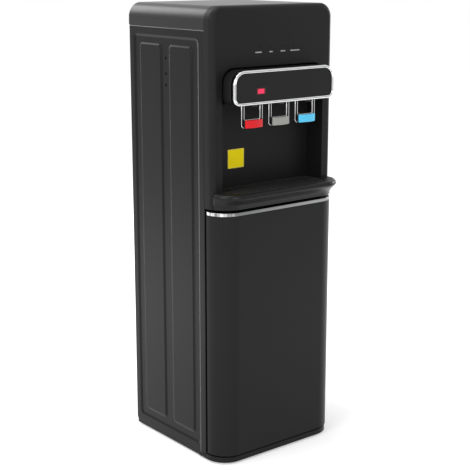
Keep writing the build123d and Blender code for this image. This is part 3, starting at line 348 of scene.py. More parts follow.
# door trim: grey plating with painted light that pales it to the right, and painted reflections in
# bands round its left corner
trimLook = dict(
    chromeLook, roughness=0.15, glossSpread=0.06, grey=(0.16, 0.162, 0.165), pale=(0.31, 0.312, 0.315),
    paleFrom=-0.10, paleTo=0.16, cornerFrom=-0.124, cornerTo=-0.140, bandDark=(0.20, 0.20, 0.205),
    bandBright=(0.80, 0.80, 0.80), bandScale=95.0, bandStretch=(1.0, 1.0, 0.02), bandFrom=0.38,
    bandTo=0.62,
)


def reflectedTrimFinish():
    s = trimLook
    finish = Finish("bandedPlating", s["shader"])
    along = finish.axis("X")
    paintedLightRamp = finish.ramp(along, s["paleFrom"], s["paleTo"])
    corner = finish.ramp(along, s["cornerFrom"], s["cornerTo"])
    bands = finish.noise(s["bandScale"], 1.0, finish.stretch(s["bandStretch"]))
    crisp = finish.ramp(bands, s["bandFrom"], s["bandTo"])
    # painted light and reflection: the grey pales towards the right end, and round the left corner it
    # breaks into dark and bright reflection bands
    plain = finish.blend(paintedLightRamp, shade(s["grey"]), shade(s["pale"]))
    paintedReflections = finish.blend(crisp, shade(s["bandDark"]), shade(s["bandBright"]))
    finish.feed("Base Color", finish.blend(corner, plain, paintedReflections))
    streakedGloss(finish, s)
    return finish.material


sideFinish = highlightLineFinish()
ownFinishes = {
    "top_cover": grainedFinish("coverSatin", coverLook), "door_trim": reflectedTrimFinish(),
    "base_pan": finishes["door_plastic"], "drip_grille": slottedFinish(),
}

# circuit board: green lacquer with pale tracks
boardLook = {
    "lacquer": (0.012, 0.11, 0.04), "track": (0.05, 0.24, 0.10), "trackScale": 260.0,
    "trackDepth": 0.00005, "shader": {"Roughness": 0.4},
}


def boardFinish():
    s = boardLook
    finish = Finish("lampBoard", s["shader"])
    sockets = {"Vector": finish.where, "Scale": s["trackScale"]}
    tracks = finish.node("TexBrick", {}, sockets, "Fac")
    finish.feed("Base Color", finish.blend(tracks, shade(s["lacquer"]), shade(s["track"])))
    finish.emboss(tracks, s["trackDepth"])
    return finish.material


# 0 in the middle of a flat piece that faces the front, 1 at its rim
def rimDistance(finish, low, high):
    across = (finish.axis("X") - (low[0] + high[0]) / 2).size() * (2 / (high[0] - low[0]))
    up = (finish.axis("Z") - (low[1] + high[1]) / 2).size() * (2 / (high[1] - low[1]))
    return across.most(up)


# lit red window: an even glow inside a darker rim
windowLook = {
    "glow": (0.80, 0.014, 0.075), "deep": (0.56, 0.006, 0.045), "rim": (0.085, 0.001, 0.006),
    "rimStart": 0.62, "rimEnd": 0.80, "glowScale": 240.0,
    "shader": {"Roughness": 0.25, "Emission Strength": 0.85},
}


def litFinish():
    s = windowLook
    finish = Finish("redWindow", s["shader"])
    low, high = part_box("display_window")
    rim = rimDistance(finish, (low.x, low.z), (high.x, high.z))
    glow = finish.blend(finish.noise(s["glowScale"], 1.0), shade(s["deep"]), shade(s["glow"]))
    colour = finish.blend(finish.ramp(rim, s["rimStart"], s["rimEnd"]), glow, shade(s["rim"]))
    finish.feed("Base Color", colour)
    finish.feed("Emission Color", colour)
    return finish.material


finishes["board"] = boardFinish()
finishes["red_window"] = litFinish()
for nodeName, node in nodes.items():
    for holder in node.material_slots:
        holder.material = finishes[slotOf[nodeName]]
print("finishes:", len(bpy.data.materials))


# puts a bmesh into the scene as an object
def newObject(name, bm):
    mesh = bpy.data.meshes.new(name)
    bm.to_mesh(mesh)
    bm.free()
    made = bpy.data.objects.new(name, mesh)
    scene.collection.objects.link(made)
    return made


# a finished piece that rides on a body
def addPiece(name, bm, body, slotName, finish=None, instead=()):
    for face in bm.faces:
        face.smooth = True
    piece = newObject(name, bm)
    piece.data.materials.append(finish or finishes[slotName])
    normals = piece.modifiers.new("normals", "WEIGHTED_NORMAL")
    normals.mode = "FACE_AREA"
    normals.weight = 50
    normals.keep_sharp = True
    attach(piece, body)
    if instead:
        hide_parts(*instead)


def place(bm, matrix):
    bmesh.ops.transform(bm, matrix=matrix, verts=bm.verts)


def weld(bm, gap=weldGap):
    bmesh.ops.remove_doubles(bm, verts=bm.verts, dist=gap)


def outward(bm):
    bmesh.ops.recalc_face_normals(bm, faces=bm.faces)


def everything(bm):
    return bm.verts[:] + bm.edges[:] + bm.faces[:]


def cutBevel(bm, geom, width, segments, affect="EDGES"):
    bmesh.ops.bevel(
        bm, geom=geom, offset=width, offset_type="OFFSET", affect=affect, segments=segments,
        profile=0.5, material=-1, clamp_overlap=affect == "EDGES",
    )


def sharpEdges(bm, angle):
    limit = math.radians(angle)
    return [edge for edge in bm.edges if edge.is_manifold and edge.calc_face_angle(0.0) > limit]


def fullSpin(bm, geom, axis, steps):
    bmesh.ops.spin(
        bm, geom=geom, cent=(0, 0, 0), axis=axis, angle=math.tau, steps=steps, use_merge=True,
        use_duplicate=False,
    )


# adds the shape of a second bmesh to the first
def joinShape(bm, part):
    scratch = bpy.data.meshes.new("scratch")
    part.to_mesh(scratch)
    part.free()
    bm.from_mesh(scratch)
    bpy.data.meshes.remove(scratch)


# a flat plate in the XY plane with its own radius at each corner, anticlockwise from low left
def roundedPlate(bm, low, high, radii, level=0.0, segments=8):
    before = set(bm.faces)
    made = bmesh.ops.create_grid(bm, x_segments=1, y_segments=1, size=0.5)["verts"]
    bmesh.ops.scale(bm, vec=(high[0] - low[0], high[1] - low[1], 1.0), verts=made)
    middle = Vector(((low[0] + high[0]) / 2, (low[1] + high[1]) / 2, level))
    bmesh.ops.translate(bm, vec=middle, verts=made)
    corners = sorted(made, key=lambda v: math.atan2(v.co.y - middle.y, v.co.x - middle.x))
    for corner, radius in zip(corners, radii):
        if radius > 0:
            cutBevel(bm, [corner], radius, segments, "VERTICES")
    return [face for face in bm.faces if face not in before][0]


# insets a face step by step along a profile of (inset, rise) points
def followProfile(bm, plate, profile):
    lastInset = lastRise = 0.0
    for inset, rise in profile:
        bmesh.ops.inset_region(
            bm, faces=[plate], thickness=inset - lastInset, depth=rise - lastRise,
            use_boundary=True, use_even_offset=True,
        )
        lastInset, lastRise = inset, rise


# a plate with a profile round it; gives the plate and its free outer rim
def profiledPlate(bm, low, high, corner, profile, level=0.0):
    before = set(bm.edges)
    plate = roundedPlate(bm, low, high, [corner] * 4, level)
    followProfile(bm, plate, profile)
    return plate, [edge for edge in bm.edges if edge.is_boundary and edge not in before]


# lifts a plate and leaves walls below its rim
def raisePlate(bm, plate, height):
    bmesh.ops.extrude_edge_only(bm, edges=plate.edges[:])
    bmesh.ops.translate(bm, vec=(0, 0, height), verts=plate.verts[:])


# takes a plate out and gives the rim that is left
def openPlate(bm, plate):
    rim = list(plate.edges)
    bmesh.ops.delete(bm, geom=[plate], context="FACES_ONLY")
    return rim


def fillBetween(bm, rims):
    bmesh.ops.triangle_fill(bm, edges=rims, use_beauty=True, use_dissolve=False)


# closes the open back of a plate or cap, or joins the two rims of a ring
def closeBack(bm, ring=False):
    rim = [edge for edge in bm.edges if edge.is_boundary]
    if ring:
        bmesh.ops.bridge_loops(bm, edges=rim)
    else:
        bmesh.ops.holes_fill(bm, edges=rim, sides=0)
    outward(bm)


# turns an open skin to face a direction and gives it its wall
def thicken(bm, facing, wall):
    outward(bm)
    if sum(face.normal.dot(facing) * face.calc_area() for face in bm.faces) < 0:
        bmesh.ops.reverse_faces(bm, faces=bm.faces)
    bmesh.ops.solidify(bm, geom=bm.faces[:], thickness=wall)


def quarterTurn(steps):
    return [math.pi / 2 * step / steps for step in range(1, steps + 1)]


def roundOver(radius, steps=4):
    return [(radius * (1 - math.cos(t)), radius * math.sin(t)) for t in quarterTurn(steps)]


def roundIn(radius, steps, inset, rise):
    turns = quarterTurn(steps)
    return [(inset + radius * math.sin(t), rise - radius * (1 - math.cos(t))) for t in turns]


def softStep(width, rise, steps):
    shares = [step / steps for step in range(1, steps + 1)]
    return [(width * share, rise * share * share * (3 - 2 * share)) for share in shares]


# an XY plate to a front view, or to a rear view
standing = Matrix(((1, 0, 0, 0), (0, 0, -1, 0), (0, 1, 0, 0), (0, 0, 0, 1)))
rearward = Matrix(((-1, 0, 0, 0), (0, 0, 1, 0), (0, 1, 0, 0), (0, 0, 0, 1)))


# a point of a front view, measured from the plinth's underside
def upright(x, z):
    return (x * mm, footZ + z * mm)


def addBox(bm, low, high, edge, segments=2):
    made = bmesh.ops.create_cube(bm, size=1.0)["verts"]
    low, high = Vector(low), Vector(high)
    bmesh.ops.scale(bm, vec=high - low, verts=made)
    bmesh.ops.translate(bm, vec=(low + high) / 2, verts=made)
    cutBevel(bm, list({line for vert in made for line in vert.link_edges}), edge, segments)


# a merged copy of a solid with its sharp edges broken, in place of the solid and named after it
softEdge = {"segments": 2, "angle": 50, "flat": 0.3}


def softCopy(nodeName, look, finish=None):
    s = dict(softEdge, **look)
    bm = bmesh.new()
    bm.from_mesh(nodes[nodeName].data)
    weld(bm)
    flat = math.radians(s["flat"])
    bmesh.ops.dissolve_limit(bm, angle_limit=flat, verts=bm.verts, edges=bm.edges)
    cutBevel(bm, sharpEdges(bm, s["angle"]), s["width"] * mm, s["segments"])
    if "then" in s:
        bm = s["then"](bm)
    first, *others = nodeName.split("_")
    name = first + "".join(word.title() for word in others)
    addPiece(name, bm, bodyOf[nodeName], slotOf[nodeName], finish, [nodeName])


# side panels: pressed sheet with a sunk border round two raised fields
panelShape = {
    "front": 53.5, "back": 318.0, "bottom": 7.4, "top": 912.6, "corner": 8.0, "edge": 1.6, "sheet": 1.2,
    "pressFront": 71.0, "pressBack": 303.0, "pressBottom": 25.0, "pressTop": 897.0, "pressCorner": 12.0,
    "depth": 2.5, "slope": 7.5, "steps": 8,
    "fields": ((91.0, 176.5), (197.5, 283.0)), "fieldBottom": 44.0, "fieldTop": 880.0,
    "fieldCorner": 12.0, "flange": 14.0, "flangeBottom": 16.4, "flangeDrop": 1.0, "flangeEdge": 0.2,
    "rearFlangeBottom": 24.0, "hingeGap": (551.2, 558.4),
}


def pressedPanel(name, nodeName, side):
    s = panelShape
    bm = bmesh.new()

    def spot(y, z):
        return (frontY + y * mm, footZ + z * mm)

    edge, depth, slope = s["edge"] * mm, s["depth"] * mm, s["slope"] * mm
    low, high = spot(s["front"], s["bottom"]), spot(s["back"], s["top"])
    sheet = roundedPlate(bm, low, high, (0, s["corner"] * mm, 0, 0), -edge)
    followProfile(bm, sheet, roundOver(edge))
    border = openPlate(bm, sheet)
    low, high = spot(s["pressFront"], s["pressBottom"]), spot(s["pressBack"], s["pressTop"])
    sunk, raised = softStep(slope, -depth, s["steps"]), softStep(slope, depth, s["steps"])
    press, rim = profiledPlate(bm, low, high, s["pressCorner"] * mm, sunk)
    border += rim
    floor = openPlate(bm, press)
    for near, far in s["fields"]:
        low, high = spot(near, s["fieldBottom"]), spot(far, s["fieldTop"])
        floor += profiledPlate(bm, low, high, s["fieldCorner"] * mm, raised, -depth)[1]
    fillBetween(bm, border)
    fillBetween(bm, floor)
    wall = s["sheet"] * mm
    thicken(bm, Vector((0, 0, 1)), wall)
    # folded flanges: two behind the front edge, one behind the rear edge
    frontEdge, rearEdge = frontY + s["front"] * mm, frontY + s["back"] * mm
    flangeTop = footZ + (s["top"] - s["flangeDrop"]) * mm
    gapLow, gapHigh = s["hingeGap"]
    flanges = (
        (frontEdge, s["flangeBottom"] * mm, gapLow * mm),
        (frontEdge, gapHigh * mm, flangeTop),
        (rearEdge - wall, footZ + s["rearFlangeBottom"] * mm, flangeTop),
    )
    for y, bottom, top in flanges:
        low, high = (y, bottom, -s["flange"] * mm), (y + wall, top, -wall)
        addBox(bm, low, high, s["flangeEdge"] * mm, 1)
    place(bm, Matrix(((0, 0, 1, halfWidth), (1, 0, 0, 0), (0, 1, 0, 0), (0, 0, 0, 1))))
    if side < 0:
        place(bm, Matrix.Scale(-1, 4, (1, 0, 0)))
        bmesh.ops.reverse_faces(bm, faces=bm.faces)
    addPiece(name, bm, "cabinet", "side_steel", sideFinish, [nodeName])


pressedPanel("sidePanelLeft", "left_side_panel", -1)
pressedPanel("sidePanelRight", "right_side_panel", 1)
print("side panels pressed")

# drip tray: its lip is swept here in one flowing curve, and the basin keeps the solid's shape
trayShape = {
    "lipEdge": 5.4, "lipDrop": 8.2, "lipSteps": 6, "tuck": 6.6, "rimSink": 0.03, "noseRun": 4.5,
    "chinRun": 12.0, "chinFront": 21.6, "chinBack": -129.55, "corner": 48.0, "spread": 1.2, "steps": 14,
    "wall": 1.2, "under": 0.7, "clear": 2.0,
}
trayLow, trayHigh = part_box("drip_tray")


# rings of the lip from its rim down to its chin, each as front, half width, corner and height
def lipRings(under=0.0):
    s = trayShape
    edge, drop, corner = s["lipEdge"] * mm, s["lipDrop"] * mm, s["corner"] * mm
    half = trayHigh.x - under
    front, top = trayLow.y + under, trayHigh.z - under
    rings = []
    for step in range(s["lipSteps"] + 1):
        turn = math.radians(90) * step / s["lipSteps"]
        inset = edge * (1 - math.sin(turn))
        height = top - drop * (1 - math.cos(turn))
        rings.append((front + inset, half - inset, corner - inset, height))
    # from the nose down to the chin in one S curve
    chin = s["chinFront"] * mm
    nose = top - drop
    heights = (nose, nose - s["noseRun"] * mm, trayLow.z + s["chinRun"] * mm, trayLow.z)
    for step in range(1, s["steps"] + 1):
        share = step / s["steps"]
        rest = 1 - share
        weights = (rest ** 3, 3 * rest * rest * share, 3 * rest * share * share, share ** 3)
        inset = chin * (weights[2] + weights[3])
        height = sum(weight * level for weight, level in zip(weights, heights))
        rings.append((front + inset, half + s["spread"] * mm * inset / chin, corner, height))
    return rings


def stackRings(bm, rings, back):
    plates = [
        roundedPlate(bm, (-reach, front), (reach, back), (radius, radius, 0, 0), height, fineSteps)
        for front, reach, radius, height in rings
    ]
    loops = [list(plate.edges) for plate in plates]
    bmesh.ops.delete(bm, geom=plates[1:-1], context="FACES_ONLY")
    for upper, lower in zip(loops, loops[1:]):
        bmesh.ops.bridge_loops(bm, edges=upper + lower)
    return plates[0], plates[-1]


def trayLip():
    s = trayShape
    tuck = s["tuck"] * mm  # the rim runs a little under the solid's top face
    rimTop = trayHigh.z - s["rimSink"] * mm
    rim = (trayLow.y + tuck, trayHigh.x - tuck, s["corner"] * mm - tuck, rimTop)
    bm = bmesh.new()
    ends = stackRings(bm, [rim] + lipRings(), trayHigh.y)
    bmesh.ops.delete(bm, geom=ends, context="FACES_ONLY")
    bmesh.ops.bisect_plane(
        bm, geom=everything(bm), plane_co=(0, s["chinBack"] * mm, 0), plane_no=(0, 1, 0),
        clear_outer=True,
    )
    thicken(bm, Vector((0, -1, 0)), s["wall"] * mm)
    addPiece("trayLip", bm, "drip_tray", "black_plastic", shadedLipFinish)


# keeps what lies under the lip's skin
def underLip(bm):
    clear = trayShape["clear"] * mm
    rings = lipRings(trayShape["under"] * mm)
    above, below = rings[0][:3] + (trayHigh.z + clear,), rings[-1][:3] + (trayLow.z - clear,)
    cutter = bmesh.new()
    stackRings(cutter, [above] + rings + [below], trayHigh.y + clear)
    outward(cutter)
    whole, keep = newObject("trayWhole", bm), newObject("trayKeep", cutter)
    cut = whole.modifiers.new("cut", "BOOLEAN")
    cut.operation = "INTERSECT"
    cut.solver = "EXACT"
    cut.object = keep
    kept = bmesh.new()
    kept.from_object(whole, bpy.context.evaluated_depsgraph_get())
    for shape in (whole, keep):
        mesh = shape.data
        bpy.data.objects.remove(shape)
        bpy.data.meshes.remove(mesh)
    return kept


trayLip()

# edges broken on the mouldings and sheets that show
edgeLooks = {
    "base_pan": {"width": 0.9, "segments": 3, "angle": 40},
    "top_cover": {"width": 0.8},
    "front_fascia": {"width": 0.7},
    "alcove_liner": {"width": 0.8},
    "head_housing": {"width": 0.3},
    "drip_tray": {"width": 0.5, "then": underLip},
    "drip_grille": {"width": 0.5},
    "door_panel": {"width": 1.1, "segments": 3},
    "door_trim": {"width": 0.7, "segments": 3},
    "rear_panel": {"width": 0.3, "segments": 1},
    "switch_housings": {"width": 0.5},
    "heat_rocker": {"width": 0.5, "angle": 18},
    "cool_rocker": {"width": 0.5, "angle": 18},
    "condenser_brackets": {"width": 0.6},
}
for nodeName, look in edgeLooks.items():
    softCopy(nodeName, look, ownFinishes.get(nodeName))
print("edges softened:", len(edgeLooks))

# bright bezel round the head: two beads with a gloss-black line laid between them as a painted dark
# reflection
bezelShape = {
    "half": 135.0, "bottom": 764.6, "top": 834.5, "bottomCorner": 15.0, "topCorner": 28.0,
    "front": -10.0, "depth": 10.0, "steps": 5, "outer": 2.3, "crest": 0.5, "groove": 1.1,
    "grooveSlope": 0.15, "sink": 0.5, "bead": 0.5, "inner": 1.4, "innerSlope": 0.05, "backGap": 1.0,
    "lineGap": 0.1, "lineEdge": 0.2,
}


def headOutline(bm, margin=0.0):
    s = bezelShape
    low = upright(margin - s["half"], s["bottom"] + margin)
    high = upright(s["half"] - margin, s["top"] - margin)
    corner, crown = (s["bottomCorner"] - margin) * mm, (s["topCorner"] - margin) * mm
    return roundedPlate(bm, low, high, (corner, corner, crown, crown), 0.0, fineSteps)


def headBezel():
    s = bezelShape
    bm = bmesh.new()
    plate = headOutline(bm)
    outer, sink, slope = s["outer"] * mm, s["sink"] * mm, s["grooveSlope"] * mm
    raisePlate(bm, plate, s["depth"] * mm - outer)
    grooveStart = outer + s["crest"] * mm
    grooveEnd = grooveStart + s["groove"] * mm
    beadEnd = grooveEnd + s["bead"] * mm
    profile = roundOver(outer, s["steps"])
    profile += [(grooveStart, outer), (grooveStart + slope, outer - sink)]
    profile += [(grooveEnd - slope, outer - sink), (grooveEnd, outer), (beadEnd, outer)]
    profile += roundIn(s["inner"] * mm, s["steps"], beadEnd, outer)
    back = outer - (s["depth"] - s["backGap"]) * mm
    profile.append((profile[-1][0] + s["innerSlope"] * mm, back))
    followProfile(bm, plate, profile)
    openPlate(bm, plate)
    closeBack(bm, True)
    seat = Matrix.Translation((0, frontY + (s["front"] + s["depth"]) * mm, 0)) @ standing
    place(bm, seat)
    addPiece("headBezel", bm, "cabinet", "chrome", None, ["head_bezel"])
    # the dark line, a painted dark reflection: a thin gloss-black band that lies in the groove
    bm = bmesh.new()
    plate = headOutline(bm)
    bmesh.ops.translate(bm, vec=(0, 0, s["depth"] * mm - sink), verts=plate.verts[:])
    followProfile(bm, plate, [(grooveStart + s["lineGap"] * mm, 0.0)])
    around = [face for face in bm.faces if face is not plate]
    bmesh.ops.delete(bm, geom=around, context="FACES")
    edge, width = s["lineEdge"] * mm, s["groove"] * mm
    followProfile(bm, plate, [(edge, edge), (width - 2 * edge, edge), (width - edge, 0.0)])
    openPlate(bm, plate)
    closeBack(bm, True)
    place(bm, seat)
    addPiece("bezelLine", bm, "cabinet", "gloss_black")


headBezel()

# gloss plate inside the bezel, very slightly crowned at its rim
plateShape = {"margin": 5.6, "depth": 3.0, "recess": 2.5, "edge": 0.8}


def headPlate():
    s = plateShape
    bm = bmesh.new()
    plate = headOutline(bm, s["margin"])
    edge = s["edge"] * mm
    raisePlate(bm, plate, s["depth"] * mm - edge)
    followProfile(bm, plate, roundOver(edge))
    closeBack(bm)
    face = frontY + (bezelShape["front"] + s["recess"] + s["depth"]) * mm
    place(bm, Matrix.Translation((0, face, 0)) @ standing)
    addPiece("headPlate", bm, "cabinet", "gloss_black", None, ["head_plate"])


headPlate()

# levers: a bright U frame and a curved paddle each
leverShape = {
    "centres": {"hot": -71.0, "room": 1.0, "cold": 73.0}, "half": 28.0, "leg": 8.0, "bottom": 716.0,
    "pivot": 776.0, "corner": 7.0, "thickness": 4.0, "set": 14.0, "edge": 0.9, "windowBottom": 733.4,
    "windowCorner": 1.5, "windowSteps": 4, "eye": 5.0, "shaft": 2.05, "eyeSteps": 24, "rim": 0.5,
    "rimSlope": 0.1, "sink": 0.35, "inlayShare": 0.6,
}
paddleShape = {
    "half": 23.0, "bottom": 716.4, "top": 733.0, "carrier": 3.4, "endDepth": 6.5, "crownDepth": 11.0,
    "steps": 18, "edge": 1.1, "edgeSteps": 4, "sharp": 40, "weld": 0.001,
    "carrierInset": 0.5, "carrierLap": 0.1, "carrierGap": 0.02, "carrierEdge": 0.4,
}
paddleSlots = {"hot": "red_plastic", "room": "grey_plastic", "cold": "blue_plastic"}


def leverFrame(name, centre):
    s = leverShape
    bm = bmesh.new()
    half, leg, corner = s["half"] * mm, s["leg"] * mm, s["corner"] * mm
    low, high = upright(-s["half"], s["bottom"]), upright(s["half"], s["pivot"])
    roundedPlate(bm, low, high, (corner, corner, 0, 0))
    # the window between the legs is cut out, and its two lower corners are rounded
    legX, sill = half - leg, footZ + s["windowBottom"] * mm
    cuts = (((legX, 0, 0), (1, 0, 0)), ((-legX, 0, 0), (1, 0, 0)), ((0, sill, 0), (0, 1, 0)))
    for point, normal in cuts:
        bmesh.ops.bisect_plane(bm, geom=everything(bm), plane_co=point, plane_no=normal)
    window = []
    for face in bm.faces:
        middle = face.calc_center_median()
        if abs(middle.x) < legX and middle.y > sill:
            window.append(face)
    bmesh.ops.delete(bm, geom=window, context="FACES")
    outline = bmesh.ops.dissolve_faces(bm, faces=bm.faces[:])["region"][0]
    near = 0.001 * mm
    inside = [
        v for v in outline.verts if abs(abs(v.co.x) - legX) < near and abs(v.co.y - sill) < near
    ]
    cutBevel(bm, inside, s["windowCorner"] * mm, s["windowSteps"], "VERTICES")
    outline = bm.faces[:][0]
    edge = s["edge"] * mm
    raisePlate(bm, outline, s["thickness"] / 2 * mm - edge)
    followProfile(bm, outline, roundOver(edge))
    bmesh.ops.mirror(
        bm, geom=everything(bm), matrix=Matrix.Identity(4), merge_dist=weldGap, axis="Z",
    )
    weld(bm)
    outward(bm)
    # the front carries a gloss-black inlay, a little below the bright rim: a painted dark reflection of
    # the flat chrome face
    rim, sink = s["rim"] * mm, s["sink"] * mm
    followProfile(bm, outline, [(rim, 0.0), (rim + s["rimSlope"] * mm, -sink)])
    seat = Matrix.Translation((centre * mm, frontY + s["set"] * mm, 0))
    band = bmesh.new()
    strip = band.faces.new([band.verts.new(v.co) for v in outline.verts])
    raisePlate(band, strip, sink * s["inlayShare"])
    closeBack(band)
    place(band, seat @ standing)
    addPiece(name + "LeverInlay", band, name + "_lever", "gloss_black")
    place(bm, standing)
    # eyes that turn on the shaft
    section = ((-leg / 2, s["shaft"]), (-leg / 2, s["eye"]), (leg / 2, s["eye"]), (leg / 2, s["shaft"]))
    for side in (-1, 1):
        legMiddle = side * (half - leg / 2)
        ring = bmesh.new()
        points = [ring.verts.new((legMiddle + x, 0, z * mm)) for x, z in section]
        loop = [ring.edges.new(pair) for pair in zip(points, points[1:] + points[:1])]
        fullSpin(ring, points + loop, (1, 0, 0), s["eyeSteps"])
        outward(ring)
        place(ring, Matrix.Translation((0, 0, footZ + s["pivot"] * mm)))
        joinShape(bm, ring)
    place(bm, seat)
    addPiece(name + "LeverFrame", bm, name + "_lever", "chrome", None, [name + "_lever_frame"])


def leverPaddle(name, centre):
    s = paddleShape
    half = s["half"] * mm
    sag = (s["crownDepth"] - s["endDepth"]) * mm
    radius = (half * half + sag * sag) / (2 * sag)
    swing = math.asin(half / radius)
    root = frontY + (leverShape["set"] - leverShape["thickness"] / 2) * mm
    back = root - s["carrier"] * mm
    crown = root - s["crownDepth"] * mm
    axisY = crown + radius
    low, high = footZ + s["bottom"] * mm, footZ + s["top"] * mm
    bm = bmesh.new()
    # the section at the crown, turned to one end and then swept across
    thick = (s["endDepth"] - s["carrier"]) * mm
    corners = ((crown, low), (crown, high), (crown + thick, high), (crown + thick, low))
    section = bm.faces.new([bm.verts.new((0, y, z)) for y, z in corners])
    centred = Matrix.Translation((0, axisY, 0))
    place(bm, centred @ Matrix.Rotation(-swing, 4, "Z") @ Matrix.Translation((0, -axisY, 0)))
    bmesh.ops.spin(
        bm, geom=[section], cent=(0, axisY, 0), axis=(0, 0, 1), angle=2 * swing, steps=s["steps"],
        use_merge=False, use_duplicate=False,
    )
    weld(bm, s["weld"] * mm)
    outward(bm)
    inner = [v for v in bm.verts if math.hypot(v.co.x, v.co.y - axisY) < radius - thick / 2]
    flatten = Matrix.Translation((0, -back, 0))
    bmesh.ops.scale(bm, vec=(1, 0, 1), space=flatten, verts=inner)
    flat = set(inner)
    front = [e for e in sharpEdges(bm, s["sharp"]) if not all(v in flat for v in e.verts)]
    cutBevel(bm, front, s["edge"] * mm, s["edgeSteps"])
    place(bm, Matrix.Translation((centre * mm, 0, 0)))
    # dark carrier between the frame and the coloured face
    carrier = bmesh.new()
    inset, lap, gap = s["carrierInset"] * mm, s["carrierLap"] * mm, s["carrierGap"] * mm
    near = (centre * mm - half + inset, back - lap, low + inset)
    far = (centre * mm + half - inset, root - gap, high - inset)
    addBox(carrier, near, far, s["carrierEdge"] * mm)
    addPiece(name + "PaddleCarrier", carrier, name + "_lever", "nozzle_plastic")
    addPiece(name + "Paddle", bm, name + "_lever", paddleSlots[name], None, [name + "_paddle"])


for leverName, leverCentre in leverShape["centres"].items():
    leverFrame(leverName, leverCentre)
    leverPaddle(leverName, leverCentre)
    softCopy(leverName + "_spout", {"width": 0.5, "segments": 3}, spoutFinish)
print("head, levers and paddles made")

# a turned dome on a front or side face: shares of its radius and height, from the rim to the top
domeShape = {"profile": ((1.0, 0.35), (0.82, 0.75), (0.45, 0.95), (0.0, 1.0)), "weld": 0.002}


def turnedDome(bm, spot, facing, look):
    dome = bmesh.new()
    radius, height = look["radius"] * mm, look["height"] * mm
    profile = [(radius, -look["sink"] * mm)]
    profile += [(across * radius, up * height) for across, up in domeShape["profile"]]
    points = [dome.verts.new((r, 0, z)) for r, z in profile]
    line = [dome.edges.new(pair) for pair in zip(points, points[1:])]
    fullSpin(dome, points + line, (0, 0, 1), look["steps"])
    weld(dome, domeShape["weld"] * mm)
    closeBack(dome)
    aim = Vector(facing).to_track_quat("Z", "Y").to_matrix().to_4x4()
    place(dome, Matrix.Translation(spot) @ aim)
    joinShape(bm, dome)


# lamp lenses and the plain dashes printed below them
lampShape = {
    "first": -38.8, "pitch": 30.2, "count": 4, "rise": 878.0, "face": 26.6,
    "radius": 2.15, "height": 0.5, "sink": 5.9, "steps": 20,
}
dashShape = {
    "rise": 865.5, "height": 2.2, "widths": (17.0, 9.0, 12.0, 25.0), "shift": (-4.0, -1.0, 1.0, 4.0),
    "proud": 0.06, "sink": 0.1, "edge": 0.03,
}


def lampRow():
    s, d = lampShape, dashShape
    lenses, marks = bmesh.new(), bmesh.new()
    faceY = frontY + s["face"] * mm
    for step in range(s["count"]):
        x = (s["first"] + step * s["pitch"]) * mm
        turnedDome(lenses, (x, faceY, footZ + s["rise"] * mm), (0, -1, 0), s)
        middle, reach = x + d["shift"][step] * mm, d["widths"][step] / 2 * mm
        bottom = footZ + (d["rise"] - d["height"] / 2) * mm
        low = (middle - reach, faceY - d["proud"] * mm, bottom)
        high = (middle + reach, faceY + d["sink"] * mm, bottom + d["height"] * mm)
        addBox(marks, low, high, d["edge"] * mm, 1)
    addPiece("lampLenses", lenses, "cabinet", "lens", None, ["indicator_lenses"])
    addPiece("lampDashes", marks, "cabinet", "lens", grainedFinish("paleInk", inkLook))


lampRow()

# bare yellow tag on the alcove's back wall
tagShape = {
    "left": -87.0, "right": -44.0, "bottom": 624.0, "top": 664.0, "corner": 1.6, "wall": 72.0,
    "proud": 0.35, "edge": 0.15,
}
tagLook = {
    "colour": (1.0, 0.79, 0.004), "spread": 0.06, "rim": (0.86, 0.70, 0.10), "border": 0.92,
    "cloudScale": 90.0, "grainScale": 700.0, "grainDepth": 0.00003,
    "shader": {"Roughness": 0.42, "Specular IOR Level": 0.12},
}


def alcoveTag():
    s, look = tagShape, tagLook
    low, high = upright(s["left"], s["bottom"]), upright(s["right"], s["top"])
    finish = Finish("yellowVinyl", look["shader"])
    rim = rimDistance(finish, low, high).above(look["border"])
    vinyl = finish.drift(finish.noise(look["cloudScale"]), look["colour"], look["spread"])
    finish.feed("Base Color", finish.blend(rim, vinyl, shade(look["rim"])))
    finish.emboss(finish.noise(look["grainScale"]), look["grainDepth"])
    bm = bmesh.new()
    tag = roundedPlate(bm, low, high, [s["corner"] * mm] * 4)
    raisePlate(bm, tag, (s["proud"] - s["edge"]) * mm)
    followProfile(bm, tag, roundOver(s["edge"] * mm, 3))
    closeBack(bm)
    place(bm, Matrix.Translation((0, frontY + s["wall"] * mm, 0)) @ standing)
    addPiece("alcoveTag", bm, "cabinet", "red_plastic", finish.material)


alcoveTag()

# small plugs in the pressed channel of both side panels
plugShape = {
    "spots": ((187.0, 850.0), (187.0, 817.5), (187.0, 794.0)), "channel": 2.5,
    "radius": 2.7, "height": 0.7, "sink": 0.8, "steps": 16, "tone": 0.003, "gloss": 0.02,
}
bm = bmesh.new()
for side in (-1, 1):
    for y, z in plugShape["spots"]:
        x = side * (halfWidth - plugShape["channel"] * mm)
        turnedDome(bm, (x, frontY + y * mm, footZ + z * mm), (side, 0, 0), plugShape)
addPiece("sidePlugs", bm, "cabinet", "rubber", blackRubberAndGapShade("plugRubber", plugShape))

# inside of the door: a moulded skin with three sunk columns
linerShape = {
    "margin": 16.0, "columns": 3, "rib": 12.0, "sink": 4.0, "slope": 5.0, "slopeSteps": 6,
    "corner": 16.0, "outerCorner": 18.0, "edge": 1.0, "edgeSteps": 3, "sheet": 1.6,
}


